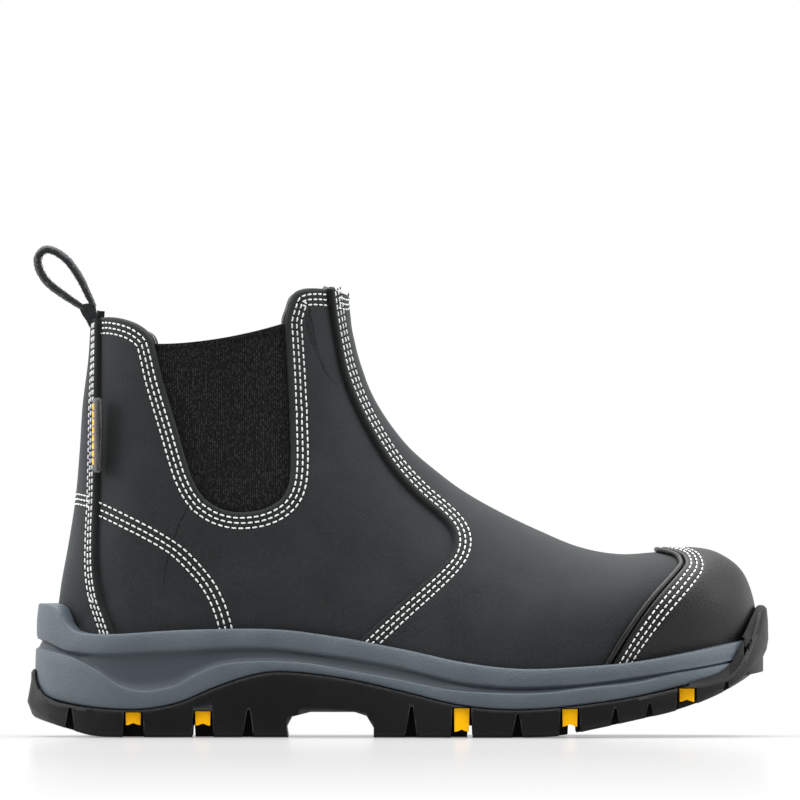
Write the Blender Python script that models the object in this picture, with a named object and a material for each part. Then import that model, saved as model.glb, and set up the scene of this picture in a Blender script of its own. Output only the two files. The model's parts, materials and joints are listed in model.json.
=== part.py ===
"""Slip-on steel toe work boot, right foot: every layer of the upper, the safety parts and the sole unit.

The frame has +X towards the toe, +Z up and -Y on the outer (lateral) side. Lengths are in millimetres
until a mesh is made. The origin is on the ground below the middle of the boot.

The upper follows one master surface. It is a loft of planar sections that fan round the instep, from
the toe tip, along the foot and up to the collar. A place on it is (k, t): k is the station number and
t is the share of the section's arc, from the front centre line (0) to the sole or the back seam (1).
Each layer of the upper is a patch of that surface, moved out or in by its own distance.
"""

import math

import bmesh
import bpy
import numpy as np
from mathutils.kdtree import KDTree

MM = 0.001
CENTRE_SHIFT = (0.65, 0.0, 0.0)
JOIN_DISTANCE = 0.02
LATERAL, MEDIAL = -1, 1
SIDES = {"lateral": LATERAL, "medial": MEDIAL}

# Layers of the upper: distance of the inner and outer face from the master surface.
QUARTER_LAYER = (-2.0, -0.4)
OVERLAY_LAYER = (0.8, 2.3)
SCUFF_LAYER = (2.9, 4.4)
STEEL_LAYER = (-2.2, -0.4)
STIFFENER_LAYER = (-4.2, -3.1)
LINING_LAYER = (-6.2, -5.3)
CLEARANCE = 0.4

# Stack on the floor of the midsole's cup: height of the lower and upper face above that floor.
PLATE_STACK = (0.6, 1.2)
BOARD_STACK = (4.2, 5.8)
FOOTBED_STACK = (6.2, 10.6)
UPPER_FOOT = 0.6
FOOT_CLEARANCE = 1.1
FLANGE_RISE = 1.2
LINING_END_T = 0.96
HEEL_CUP_RISE = 7.0

# Plan outline of the sole at its widest, from the heel's back round the lateral side and the toe.
OUTLINE = [
    (-153.3, 0), (-148.5, -19), (-137, -32), (-118, -40), (-95, -41.5), (-60, -39.5), (-30, -41),
    (0, -47.5), (30, -54.3), (60, -56), (88, -53.2), (112, -46.2), (132, -36), (146.2, -19.5), (152.2, 4),
    (149.8, 22), (142.2, 36), (127.5, 46), (108, 53), (82, 56), (55, 55), (28, 49.5), (0, 42.8),
    (-30, 38), (-60, 38.8), (-95, 41), (-118, 40), (-137, 32), (-148.5, 19),
]
TOE_INDEX = 14
RING_HALF = 30

# Side view lines of the sole unit, (x, z).
FLOOR_LINE = [(-160, 33), (-130, 33), (-95, 33), (-60, 32.2), (-20, 28.3), (15, 22.6), (50, 19.6),
              (80, 20.4), (110, 23.4), (135, 27.5), (160, 32)]
FEATHER_LINE = [(-160, 56), (-150, 55.5), (-145, 53.5), (-141, 47.3), (-135, 43.8), (-120, 43.2),
                (-90, 44.9), (-55, 45.3), (-30, 42.5), (0, 37), (25, 31.6), (50, 28.8), (75, 29.6),
                (100, 31.8), (125, 36), (141, 39.2), (160, 43)]
GROOVE_LINE = [(-160, 41), (-150, 39.5), (-140, 35.6), (-125, 34.3), (-100, 35.5), (-60, 37), (-30, 33.9),
               (0, 28.7), (25, 22.7), (50, 20.7), (80, 22.3), (112, 26.7), (135, 30.5), (160, 36)]
SPLIT_LINE = [(-160, 19), (-150, 16.8), (-143, 14.6), (-130, 12.4), (-110, 11.4), (-93, 14.2), (-78, 20.4),
              (-62, 25.7), (-48, 27.2), (-25, 24.7), (0, 19.3), (25, 13.4), (50, 11.5), (80, 14),
              (110, 19.2), (135, 26.5), (160, 36)]
GROUND_LINE = [(-160, 9.5), (-150, 6.2), (-141, 3.4), (-130, 0.6), (-118, 0), (-95, 0), (-50, 0),
               (10, 0), (45, 0), (66, 0.6), (82, 3.6), (100, 7.4), (116, 11), (133, 16.8), (146, 23),
               (160, 31)]
TREAD_DEPTH = 5.2
SOLE_SPLIT_GAP = 0.3

# The rubber's rim in the side view where it climbs past the midsole, at the heel's back and the toe,
# and how far it stands out there. A half width counts points of the ring.
HEEL_RIM = [(-160, 28.6), (-153.3, 28.2), (-152.2, 25), (-151.2, 21.5), (-149, 17.9), (-145.4, 15.6),
            (-139, 13.5)]
TOE_RIM = [(110, 19.2), (120, 22.5), (130, 25.6), (135, 28), (139, 31.8), (142.5, 38.5), (146, 45),
           (149, 51), (152.2, 55), (160, 55)]
BUMPER_HALF = 5
BUMPER_OUT = 3.2
HEEL_FLARE = 3.4
RIM_THICK = 1.1
BED_BELOW_FLOOR = 3.5

# How far the master surface's foot stands inside the outline, by x.
FEATHER_INSET = [(-160, 11.6), (-140, 9.4), (-120, 7.4), (-90, 6.7), (60, 6.7), (85, 8.2), (115, 8.4),
                 (135, 8), (152, 5.8)]

# Stations of the master surface: front point (x, z), foot or back point (x, z), half width on the
# lateral and the medial side, share of the section where it is widest, roundness, centre line's y.
# A foot height of None stands on the floor line, and a foot x past the heel closes on the back seam.
STATIONS = [
    ((145.4, 50), (145.4, None), 0.0, 0.0, 0.60, 2.2, 5.0),
    ((143.7, 58.5), (142.8, None), 13.4, 14.2, 0.60, 2.3, 5.0),
    ((140.2, 66.6), (135.0, None), 23.6, 24.6, 0.60, 2.4, 4.9),
    ((134.0, 71.8), (122.6, None), 32.4, 33.2, 0.62, 2.4, 4.4),
    ((125.8, 74.6), (107.7, None), 38.4, 39.2, 0.64, 2.4, 3.4),
    ((110.0, 75.0), (90.0, None), 44.2, 45.0, 0.70, 2.35, 2.0),
    ((92.0, 74.1), (70.0, None), 48.6, 48.6, 0.75, 2.25, 0.6),
    ((74.7, 77.2), (50.0, None), 49.8, 48.0, 0.76, 2.1, 0.0),
    ((57.0, 84.4), (28.0, None), 47.8, 44.6, 0.75, 2.0, 0.0),
    ((39.2, 93.0), (5.0, None), 43.6, 40.0, 0.72, 1.95, 0.0),
    ((24.7, 101.4), (-18.0, None), 39.6, 37.0, 0.68, 1.95, 0.0),
    ((13.2, 110.0), (-42.0, None), 36.8, 35.2, 0.64, 2.0, 0.0),
    ((3.4, 118.4), (-66.0, None), 35.8, 35.0, 0.60, 2.05, 0.0),
    ((-4.0, 127.0), (-90.0, None), 35.8, 35.4, 0.57, 2.1, 0.0),
    ((-10.4, 136.4), (-112.0, None), 35.8, 35.6, 0.55, 2.15, 0.0),
    ((-14.8, 144.8), (-128.8, None), 35.7, 35.6, 0.54, 2.2, 0.0),
    ((-17.7, 152.6), (-138.6, 36.0), 35.6, 35.5, 0.54, 2.2, 0.0),
    ((-19.8, 159.2), (-141.9, 43.0), 35.4, 35.4, 0.54, 2.2, 0.0),
    ((-21.3, 165.4), (-140.3, 61.5), 35.2, 35.2, 0.54, 2.2, 0.0),
    ((-22.4, 170.6), (-137.1, 79.6), 35.0, 35.0, 0.53, 2.2, 0.0),
    ((-23.0, 175.6), (-134.1, 98.8), 35.0, 35.0, 0.52, 2.2, 0.0),
    ((-23.5, 180.4), (-132.3, 119.0), 35.4, 35.4, 0.51, 2.2, 0.0),
    ((-23.8, 185.2), (-131.0, 139.0), 36.0, 36.0, 0.50, 2.2, 0.0),
    ((-24.0, 190.0), (-128.6, 158.4), 36.8, 36.8, 0.50, 2.2, 0.0),
    ((-24.1, 195.5), (-127.4, 178.5), 37.6, 37.6, 0.50, 2.2, 0.0),
]
HEEL_STATION = 17
TOP_STATION = len(STATIONS) - 1

# Seams and edges of the upper in the side view, (x, z).
VAMP_EDGE = [(-28.8, 187.6), (-27.6, 178), (-26.0, 168), (-23.3, 154), (-18.6, 141), (-11.3, 126.5),
             (-2.6, 112.8), (7.2, 101.8), (16.5, 93.8), (21.4, 88.2), (22.9, 82.6), (21.6, 77.3),
             (17.4, 72.0), (9.5, 64.6), (0, 56.2), (-9, 48), (-17, 40.4), (-27, 30.5)]
BACKSTAY_EDGE = [(-127.7, 175.4), (-127.6, 160), (-127.6, 140), (-127.6, 120), (-127.8, 100), (-128.2, 82),
                 (-127.6, 68), (-125.4, 57), (-122.4, 49), (-119.6, 41), (-117.5, 34)]
GORE_EDGE = [(-105.5, 168.0), (-103.2, 162), (-100.2, 150), (-97.0, 139.5), (-93.6, 128.5), (-90.2, 117),
             (-87.2, 108.5), (-83.2, 101.5), (-77.5, 96.8), (-71, 94.5), (-64.5, 94.2), (-57.5, 95.4),
             (-51.4, 98.4), (-47.5, 102.8), (-45.7, 109), (-45.2, 119), (-45.5, 135), (-46.0, 152),
             (-46.9, 168), (-47.2, 174)]
BACK_TOP_EDGE = [(-127.6, 175.6), (-122.5, 175.9), (-116, 174.6), (-110.5, 172.2), (-105.5, 168.0)]
FRONT_TOP_EDGE = [(-47.2, 174), (-45.6, 180), (-43.4, 185.2), (-39.6, 187.3), (-34.5, 187.8), (-28.9, 187.5)]
SCUFF_EDGE_SIDE = [(119.2, 74.9), (119.4, 72.9), (116.6, 69.2), (108.4, 59.8), (102.8, 52.6), (97.0, 44),
                   (91.8, 35.4), (88.0, 28.6), (85.4, 23.6)]
SCUFF_PEAK_K = 5.02
COUNTER_EDGE = [(-131.5, 99.6), (-125, 97.6), (-110, 90.4), (-100, 85), (-90, 78.2), (-80, 67.4),
                (-74.6, 58.4), (-71.6, 50), (-70.2, 44.6)]
VAMP_TURN_K = 6.2
VAMP_BEND_K = 9.0
VAMP_TOP_K = 23.75
VAMP_UNDERLAP = 4.2
BACKSTAY_UNDERLAP = 4.5
GORE_UNDERLAP = 7.0
COLLAR_LINING_DROP = 1.5
LINING_SEAM = 3.0
LINING_BACK_GAP = 0.6

# Tread: V notches as (x, width, apex height), and side channels as (x, height of the insert's foot,
# height of the channel's top), where None is just under the midsole.
NOTCHES = [(-138.2, 3.6, 12.3), (-63.4, 3.6, 11.6), (4.8, 3.8, 13.0), (49.2, 3.6, 9.8), (90.0, 3.2, 12.2),
           (104.4, 3.2, 14.2), (136.8, 3.2, 23.0)]
CHANNELS = [(-111.6, 5.0, None), (-82.5, 4.8, 11.2), (25.8, 2.4, None), (71.0, 4.6, None),
            (120.0, 14.8, None)]
CHANNEL_WIDTH = 8.4
CHANNEL_REACH = 19.0
NOTCH_REACH = 12.0
INSERT_WIDTH = 6.4
INSERT_REACH = 14.0
INSERT_RECESS = 1.6
BED_COVER = 0.6
MIDLINE_CHANNEL = 4.2
ARCH = [(-45.5, -8), (-47.5, 4), (-45.1, 8.6), (-37.5, 10.6), (-19.0, 10.6), (-14.0, 9.0), (-11.0, 4),
        (-11.0, -8)]

# Pull loop: centre line of the strap in the side view, from the front leg over to the back leg.
LOOP_PATH = [(-128.6, 180.3), (-130.8, 185), (-134.3, 192.2), (-139.2, 199.3), (-144.6, 203.4),
             (-149.2, 204.2), (-152.1, 200.9), (-151.4, 195.6), (-147.8, 190.2), (-142.2, 185.8),
             (-136.6, 182.0), (-132.3, 179.5)]
LOOP_WIDTH = 17.0
LOOP_THICK = 2.4
LOOP_HINGE = (-130.2, 179.4)
LOOP_TAIL = (176.2, 160.0)

TAG_Z = (110.8, 142.0)
TAG_LENGTH = 7.5
TAG_THICK = 2.2
TAG_STANDOFF = 0.5
TAG_LEAN = math.radians(22)
PIPING_RADIUS = 1.1


# ---------------------------------------------------------------- curves


def catmull(points, u):
    """The smooth curve through the points, at parameters u that count the points from 0."""
    p = np.asarray(points, float)
    p = np.vstack([2 * p[0] - p[1], p, 2 * p[-1] - p[-2]])
    u = np.atleast_1d(np.asarray(u, float))
    i = np.clip(np.floor(u).astype(int), 0, len(points) - 2)
    f = (u - i)[:, None]
    a, b, c, d = p[i], p[i + 1], p[i + 2], p[i + 3]
    return 0.5 * (2 * b + (c - a) * f + (2 * a - 5 * b + 4 * c - d) * f**2 + (3 * b - a - 3 * c + d) * f**3)


def smooth(points, count):
    """The smooth curve through the points as count points, evenly spaced along it."""
    fine = catmull(points, np.linspace(0, len(points) - 1, 24 * len(points)))
    return even(fine, count)


def even(line, count):
    """A dense polyline as count points, evenly spaced along it."""
    line = np.asarray(line, float)
    along = np.concatenate([[0], np.cumsum(np.linalg.norm(np.diff(line, axis=0), axis=1))])
    want = np.linspace(0, along[-1], count)
    return np.stack([np.interp(want, along, line[:, i]) for i in range(line.shape[1])], axis=1)


def height_of(line):
    """A side view line as a function z(x)."""
    fine = catmull(line, np.linspace(0, len(line) - 1, 24 * len(line)))
    return lambda x: np.interp(x, fine[:, 0], fine[:, 1])


floor_z = height_of(FLOOR_LINE)
feather_z = height_of(FEATHER_LINE)
groove_z = height_of(GROOVE_LINE)
split_z = height_of(SPLIT_LINE)
rim_z = height_of(HEEL_RIM + SPLIT_LINE[3:-3] + TOE_RIM)
sole_underside_z = height_of(GROUND_LINE)
feather_inset = height_of(FEATHER_INSET)


def ground_z(x):
    """The underside of the tread, which is flat on the ground under the heel and the ball."""
    return np.maximum(sole_underside_z(x), 0.0)


def bed_z(x):
    """The top of the rubber under the midsole."""
    return np.minimum(split_z(x), floor_z(x) - BED_BELOW_FLOOR)


def outline_rings():
    """The outline as 2 * RING_HALF points from the heel's back, and its outward normals."""
    closed = OUTLINE + OUTLINE[:1]
    wrapped = OUTLINE[-2:] + closed + OUTLINE[1:3]
    halves = []
    for first, last in ((2, 2 + TOE_INDEX), (2 + TOE_INDEX, len(wrapped) - 3)):
        fine = catmull(wrapped, np.linspace(first, last, 900))
        halves.append(even(fine, RING_HALF + 1)[:-1])
    ring = np.vstack(halves)
    tangent = np.roll(ring, -1, axis=0) - np.roll(ring, 1, axis=0)
    tangent /= np.linalg.norm(tangent, axis=1)[:, None]
    return ring, np.stack([tangent[:, 1], -tangent[:, 0]], axis=1)


RING, RING_NORMAL = outline_rings()
RING_COUNT = len(RING)


def inset_ring(inset):
    """The outline moved in by inset, which is one number or one for each point."""
    return RING - RING_NORMAL * np.broadcast_to(np.asarray(inset, float), (RING_COUNT,))[:, None]


FEATHER_RING = inset_ring(feather_inset(RING[:, 0]))


def half_ring(ring, side):
    """One side of a ring, from the heel to the toe."""
    if side == LATERAL:
        return ring[: RING_HALF + 1]
    return np.vstack([ring[RING_HALF:], ring[:1]])[::-1]


def feather_y(x, side):
    """The y of the upper's foot at x on one side."""
    half = half_ring(FEATHER_RING, side)
    return np.interp(x, half[:, 0], half[:, 1])


# ---------------------------------------------------------------- master surface

K_STEP = 0.05
T_COUNT = 81
ARC_SAMPLES = 60


def station_table():
    """One row of numbers for each station, with feet stood on the floor and their half widths."""
    rows = []
    for (fx, fz), (bx, bz), wide_l, wide_m, share, power, mid in STATIONS:
        closed = bx <= STATIONS[HEEL_STATION][1][0] or (bz or 0) > 40
        foot = floor_z(bx) + UPPER_FOOT if bz is None else bz
        ends = [0.0, 0.0]
        if not closed and wide_l > 0:
            ends = [mid - feather_y(bx, LATERAL), feather_y(bx, MEDIAL) - mid]
        rows.append([fx, fz, bx, foot, wide_l, wide_m, share, power, mid, *ends])
    return rows


def half_section(chord, wide, end, share, power):
    """One side of a section: distances down the chord and out from it, as dense arrays."""
    end = min(max(end, 0.0), 0.999 * wide) if wide > 0 else 0.0
    rest = 1 - share
    reach = rest / max(1 - (end / wide) ** power, 1e-4) ** (1 / power) if wide > 0 else rest
    turn = np.linspace(0, math.pi / 2, ARC_SAMPLES)
    upper = share * (1 - np.cos(turn))
    lower = share + reach * np.sin(np.linspace(0, math.asin(min(1.0, rest / reach)), ARC_SAMPLES))[1:]
    lower[-1] = 1.0
    out_upper = wide * np.clip(1 - (1 - upper / share) ** power, 0, 1) ** (1 / power)
    out_lower = wide * np.clip(1 - ((lower - share) / reach) ** power, 0, 1) ** (1 / power)
    return np.concatenate([upper, lower]) * chord, np.concatenate([out_upper, out_lower])


class Surface:
    """The master surface of one side as a dense grid of points and outward normals over (k, t)."""

    def __init__(self, side):
        self.side = side
        self.k = np.arange(0, TOP_STATION + K_STEP / 2, K_STEP)
        self.t = np.linspace(0, 1, T_COUNT)
        rows = catmull(station_table(), self.k)
        self.front, self.back = rows[:, 0:2], rows[:, 2:4]
        self.share_at_t = np.zeros((len(self.k), T_COUNT))
        self.points = np.zeros((len(self.k), T_COUNT, 3))
        for i, row in enumerate(rows):
            self._section(i, row)
        self.normals = self._normals()

    def _section(self, i, row):
        wide = max(row[4] if self.side == LATERAL else row[5], 0.0)
        end = row[9] if self.side == LATERAL else row[10]
        if self.k[i] >= HEEL_STATION:
            end = 0.0
        chord = float(np.linalg.norm(self.back[i] - self.front[i]))
        down, out = half_section(chord, wide, end, row[6], row[7])
        arc = np.concatenate([[0], np.cumsum(np.hypot(np.diff(down), np.diff(out)))])
        want = self.t * arc[-1]
        down_t, out_t = np.interp(want, arc, down), np.interp(want, arc, out)
        share = down_t / chord
        self.share_at_t[i] = share
        flat = self.front[i] + share[:, None] * (self.back[i] - self.front[i])
        self.points[i, :, 0], self.points[i, :, 2] = flat[:, 0], flat[:, 1]
        self.points[i, :, 1] = row[8] + self.side * out_t

    def _normals(self):
        along_k = np.gradient(self.points, axis=0)
        along_t = np.gradient(self.points, axis=1)
        normal = np.cross(along_k, along_t) * -self.side
        normal[:, 0, 1] = 0
        normal[self.k >= HEEL_STATION, -1, 1] = 0
        normal[0] = (1, 0, 0)
        return normal / np.maximum(np.linalg.norm(normal, axis=2), 1e-9)[:, :, None]

    def _sample(self, grid, k, t):
        """Values of a dense grid between its points."""
        fk = np.clip(np.asarray(k, float) / K_STEP, 0, len(self.k) - 1.001)
        ft = np.clip(np.asarray(t, float) * (T_COUNT - 1), 0, T_COUNT - 1.001)
        i, j = fk.astype(int), ft.astype(int)
        a, b = (fk - i)[..., None], (ft - j)[..., None]
        low = grid[i, j] * (1 - b) + grid[i, j + 1] * b
        high = grid[i + 1, j] * (1 - b) + grid[i + 1, j + 1] * b
        return low * (1 - a) + high * a

    def at(self, kt, offset=0.0):
        """Points at an array of (k, t), moved out along the normal by offset."""
        k, t = kt[..., 0], kt[..., 1]
        normal = self._sample(self.normals, k, t)
        normal /= np.linalg.norm(normal, axis=-1)[..., None]
        return self._sample(self.points, k, t) + normal * offset

    def find(self, line, offset=0.0):
        """(k, t) of side view points (x, z), seen on the surface moved out by offset."""
        line = np.asarray(line, float)
        target = line.copy()
        for _ in range(4):
            kt = np.array([self._find_one(p) for p in target])
            seen = self.at(kt, offset)[:, [0, 2]]
            target = target + (line - seen) * 0.8
        return kt

    def _find_one(self, point):
        chord = self.back - self.front
        rel = point - self.front
        cross = chord[:, 0] * rel[:, 1] - chord[:, 1] * rel[:, 0]
        flips = np.where(np.sign(cross[:-1]) != np.sign(cross[1:]))[0]
        i = int(flips[0]) if len(flips) else (0 if abs(cross[0]) < abs(cross[-1]) else len(cross) - 2)
        gap = cross[i] - cross[i + 1]
        f = min(max(cross[i] / gap, 0.0), 1.0) if gap else 0.0
        front = self.front[i] * (1 - f) + self.front[i + 1] * f
        back = self.back[i] * (1 - f) + self.back[i + 1] * f
        share = np.dot(point - front, back - front) / np.dot(back - front, back - front)
        shares = self.share_at_t[i] * (1 - f) + self.share_at_t[i + 1] * f
        return (i + f) * K_STEP, float(np.interp(share, shares, self.t))


SURFACES = {side: Surface(side) for side in SIDES.values()}


def upper_inset(top):
    """How far inside the outline the master surface stands where it is widest below the heights top."""
    cloud = np.vstack([surface.points.reshape(-1, 3) for surface in SURFACES.values()])
    inset = []
    for place, normal, height in zip(RING, RING_NORMAL, top):
        across = cloud[:, :2] - place
        near = np.abs(across @ (-normal[1], normal[0])) < 3
        near &= cloud[:, 2] < height + 1
        depth = -(across[near] @ normal)
        inset.append(depth[depth < 30].min())
    return np.array(inset)


# ---------------------------------------------------------------- patches


def resample(surface, kt, count):
    """A line of (k, t) as count points, evenly spaced on the surface."""
    points = surface.at(np.asarray(kt, float))
    along = np.concatenate([[0], np.cumsum(np.linalg.norm(np.diff(points, axis=0), axis=1))])
    want = np.linspace(0, along[-1], count)
    return np.stack([np.interp(want, along, kt[:, i]) for i in range(2)], axis=1)


def densify(kt, per_span=12):
    """A short list of (k, t) corners as a dense line of straight spans."""
    kt = np.asarray(kt, float)
    steps = np.linspace(0, 1, per_span, endpoint=False)[:, None]
    spans = [a + (b - a) * steps for a, b in zip(kt[:-1], kt[1:])]
    return np.vstack([*spans, kt[-1:]])


def seam_kt(surface, line, offset=0.0):
    """A side view line as a dense line of (k, t)."""
    return surface.find(smooth(line, 6 * len(line)), offset)


def moved(surface, kt, distance):
    """A line of (k, t) that runs down the boot, moved forward along the surface by distance."""
    step = 0.02
    base = np.clip(kt, (step, step), (TOP_STATION - step, 1 - step))
    across_k = surface.at(base + (step, 0)) - surface.at(base - (step, 0))
    across_t = surface.at(base + (0, step)) - surface.at(base - (0, step))
    along = np.gradient(surface.at(kt), axis=0)
    forward = np.cross(np.cross(across_k, across_t), along)
    forward *= distance / np.maximum(np.linalg.norm(forward, axis=1), 1e-9)[:, None]
    shift = [np.linalg.lstsq(np.stack([dk, dt], axis=1) / (2 * step), want, rcond=None)[0]
             for dk, dt, want in zip(across_k, across_t, forward)]
    return np.clip(kt + np.array(shift), (0, 0), (TOP_STATION, 1))


def arc_length(surface, k):
    """Length of the half section at station k."""
    line = surface.at(np.stack([np.full(T_COUNT, k), surface.t], axis=1))
    return float(np.linalg.norm(np.diff(line, axis=0), axis=1).sum())


def blend_rows(first, last, columns):
    """A grid of (k, t) between two lines with as many points each."""
    share = np.linspace(0, 1, columns)[None, :, None]
    return first[:, None, :] * (1 - share) + last[:, None, :] * share


def grid_faces(rows, columns, start, flip):
    """Quads of a grid whose points are numbered row by row from start."""
    faces = []
    for i in range(rows - 1):
        for j in range(columns - 1):
            a = start + i * columns + j
            quad = (a, a + 1, a + columns + 1, a + columns)
            faces.append(quad[::-1] if flip else quad)
    return faces


def metres(points):
    """Points in millimetres as metres, with the boot's box centred on the origin."""
    return (np.asarray(points, float) + CENTRE_SHIFT) * MM


def mesh_object(name, points, faces, material, origin=None):
    """A mesh object from points in millimetres, with doubled points joined and the faces turned out."""
    place = metres(origin) if origin is not None else np.zeros(3)
    mesh = bpy.data.meshes.new(name)
    mesh.from_pydata((metres(points) - place).tolist(), [], faces)
    obj = bpy.data.objects.new(name, mesh)
    obj.location = place
    BOOT.objects.link(obj)
    body = bmesh.new()
    body.from_mesh(mesh)
    bmesh.ops.remove_doubles(body, verts=body.verts, dist=JOIN_DISTANCE * MM)
    bmesh.ops.recalc_face_normals(body, faces=body.faces)
    if body.calc_volume(signed=True) < 0:
        bmesh.ops.reverse_faces(body, faces=body.faces)
    body.to_mesh(mesh)
    body.free()
    mesh.materials.append(MATERIALS[material])
    mesh.shade_smooth()
    mesh.set_sharp_from_angle(angle=math.radians(40))
    return obj


def layer_object(name, patches, layer, material):
    """A layer of the upper: patches are (surface, grid of (k, t)), and the halves that touch are joined.
    The two faces of the layer are offsets of the same grid, joined by a rim round the open border."""
    inner, outer = layer
    points, faces = [], []
    for surface, grid in patches:
        rows, columns = grid.shape[:2]
        faces += grid_faces(rows, columns, len(points), surface.side == MEDIAL)
        both = [above_floor(surface.at(grid, offset)) for offset in (outer, inner)]
        points += list(np.concatenate(both, axis=2).reshape(-1, 6))
    points, faces = join_alike(points, faces)
    faces = in_triangles(points, faces)
    count = len(points)
    border = open_edges(faces)
    solid = list(faces) + [tuple(i + count for i in reversed(face)) for face in faces]
    solid += [(b, a, a + count, b + count) for a, b in border]
    stacked = [p[:3] for p in points] + [p[3:] for p in points]
    return mesh_object(name, stacked, solid, material)


def above_floor(points):
    """Points kept clear of the floor of the midsole's cup."""
    points[..., 2] = np.maximum(points[..., 2], floor_z(points[..., 0]) + FOOT_CLEARANCE)
    return points


def join_alike(points, faces):
    """Points that lie together made one, and the faces numbered to suit."""
    tree = KDTree(len(points))
    for i, p in enumerate(points):
        tree.insert(p[:3], i)
    tree.balance()
    first = [min(i for _, i, _ in tree.find_range(p[:3], JOIN_DISTANCE)) for p in points]
    kept = sorted(set(first))
    place = {old: new for new, old in enumerate(kept)}
    renumbered = [tuple(dict.fromkeys(place[first[i]] for i in face)) for face in faces]
    return [points[i] for i in kept], [face for face in renumbered if len(face) > 2]


def in_triangles(points, faces):
    """Quads cut along their shorter diagonal, so that a layer's two faces bend alike."""
    cut = []
    for face in faces:
        if len(face) == 4:
            a, b, c, d = (points[i][:3] for i in face)
            first = 0 if np.linalg.norm(c - a) < np.linalg.norm(d - b) else 1
            face = face[first:] + face[:first]
            cut += [(face[0], face[1], face[2]), (face[0], face[2], face[3])]
        else:
            cut.append(face)
    return cut


def open_edges(faces):
    """Directed edges that only one face uses."""
    edges = [(face[i], face[(i + 1) % len(face)]) for face in faces for i in range(len(face))]
    used = set(edges)
    return [edge for edge in edges if edge[::-1] not in used]


# ---------------------------------------------------------------- upper


def foremost(surface, line):
    """The index of a line's point nearest the toe."""
    return int(np.argmax(surface.at(line)[:, 0]))


def vamp_lines(surface, offset, rows_foot, rows_leg, trim=0.0):
    """The vamp's centre line and edge on one side, row for row: along the sole, up the seam to its
    foremost point, then up to the collar."""
    seam = moved(surface, seam_kt(surface, VAMP_EDGE, offset), trim)[::-1]
    bend = foremost(surface, seam)
    rows_low = rows_leg // 3
    rows_high = rows_leg - rows_low
    ends = [0.0, VAMP_TURN_K, VAMP_BEND_K, VAMP_TOP_K]
    foot_k = np.linspace(0, seam[0][0], rows_foot)
    edge = np.vstack([
        np.stack([foot_k, np.ones(rows_foot)], axis=1),
        resample(surface, seam[: bend + 1], rows_low + 1)[1:],
        resample(surface, seam[bend:], rows_high + 1)[1:],
    ])
    centre = np.vstack([
        np.stack([np.linspace(*ends[:2], rows_foot), np.zeros(rows_foot)], axis=1),
        resample(surface, densify([(ends[1], 0.0), (ends[2], 0.0)], 80), rows_low + 1)[1:],
        resample(surface, densify([(ends[2], 0.0), (ends[3], 0.0)], 200), rows_high + 1)[1:],
    ])
    return centre, edge


def make_vamp():
    patches = []
    for surface in SURFACES.values():
        centre, edge = vamp_lines(surface, OVERLAY_LAYER[1], 15, 21)
        patches.append((surface, blend_rows(centre, edge, 10)))
    layer_object("vamp", patches, OVERLAY_LAYER, "waxy_leather")


def quarter_lines(surface, inner_line, back_t_gap, front_shift, top_drop=0.0, foot_t=1.0):
    """The quarter's inner line, which runs round the gore, and its outer line, row for row."""
    drop = np.array([0.0, top_drop])
    back_top = seam_kt(surface, np.array(BACK_TOP_EDGE) - drop)
    front_top = seam_kt(surface, np.array(FRONT_TOP_EDGE) - drop)
    gore = seam_kt(surface, inner_line)
    back_start = np.array([[back_top[0][0], 1 - back_t_gap / arc_length(surface, back_top[0][0])]])
    vamp = moved(surface, seam_kt(surface, VAMP_EDGE), front_shift)
    inner_parts = [
        resample(surface, np.vstack([back_start, back_top]), 6),
        resample(surface, gore, 19),
        resample(surface, np.vstack([front_top, vamp[:1]]), 6),
    ]
    back_k = np.linspace(back_top[0][0] - 0.9, HEEL_STATION, 8)
    back_t = [1 - back_t_gap / arc_length(surface, k) for k in back_k]
    back = np.stack([back_k, back_t], axis=1)
    heel = densify([(HEEL_STATION, back[-1][1]), (HEEL_STATION - 0.6, foot_t), (vamp[-1][0], foot_t)], 60)
    front = vamp[::-1]
    front = front[: -max(2, len(front) // 9)]
    bend = foremost(surface, front)
    outer_parts = [
        resample(surface, back, 8),
        resample(surface, heel, 9),
        resample(surface, front[: bend + 1], 5),
        resample(surface, front[bend:], 10),
    ]
    inner = np.vstack([inner_parts[0], *(part[1:] for part in inner_parts[1:])])
    outer = np.vstack([outer_parts[0], *(part[1:] for part in outer_parts[1:])])
    return inner, outer


def make_quarters():
    for name, side in SIDES.items():
        surface = SURFACES[side]
        inner, outer = quarter_lines(surface, GORE_EDGE, BACKSTAY_UNDERLAP, VAMP_UNDERLAP)
        grid = blend_rows(inner, outer, 8)
        layer_object(f"{name}_quarter", [(surface, grid)], QUARTER_LAYER, "waxy_leather")


def make_backstay():
    patches = []
    for surface in SURFACES.values():
        edge = resample(surface, seam_kt(surface, BACKSTAY_EDGE, OVERLAY_LAYER[1]), 17)
        edge[-1][1] = 1.0
        centre = resample(surface, densify([(edge[0][0], 1.0), (HEEL_STATION, 1.0)], 100), 17)
        patches.append((surface, blend_rows(centre, edge, 5)))
    layer_object("backstay", patches, OVERLAY_LAYER, "waxy_leather")


def gore_grid(surface, grow, rows, columns):
    """The elastic's patch: rows from its top edge down to the bottom of the U, grown past its edge."""
    edge = moved(surface, seam_kt(surface, GORE_EDGE), -grow)
    lowest = int(np.argmin(surface.at(edge)[:, 2]))
    spare = len(edge) // 14
    rear = resample(surface, edge[: lowest - spare], rows)
    front = resample(surface, edge[lowest + spare :][::-1], rows)
    return blend_rows(rear, front, columns)


def make_gores():
    for name, side in SIDES.items():
        surface = SURFACES[side]
        grid = gore_grid(surface, GORE_UNDERLAP, 9, 8)
        layer_object(f"{name}_gore", [(surface, grid)], STIFFENER_LAYER, "elastic")


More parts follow.
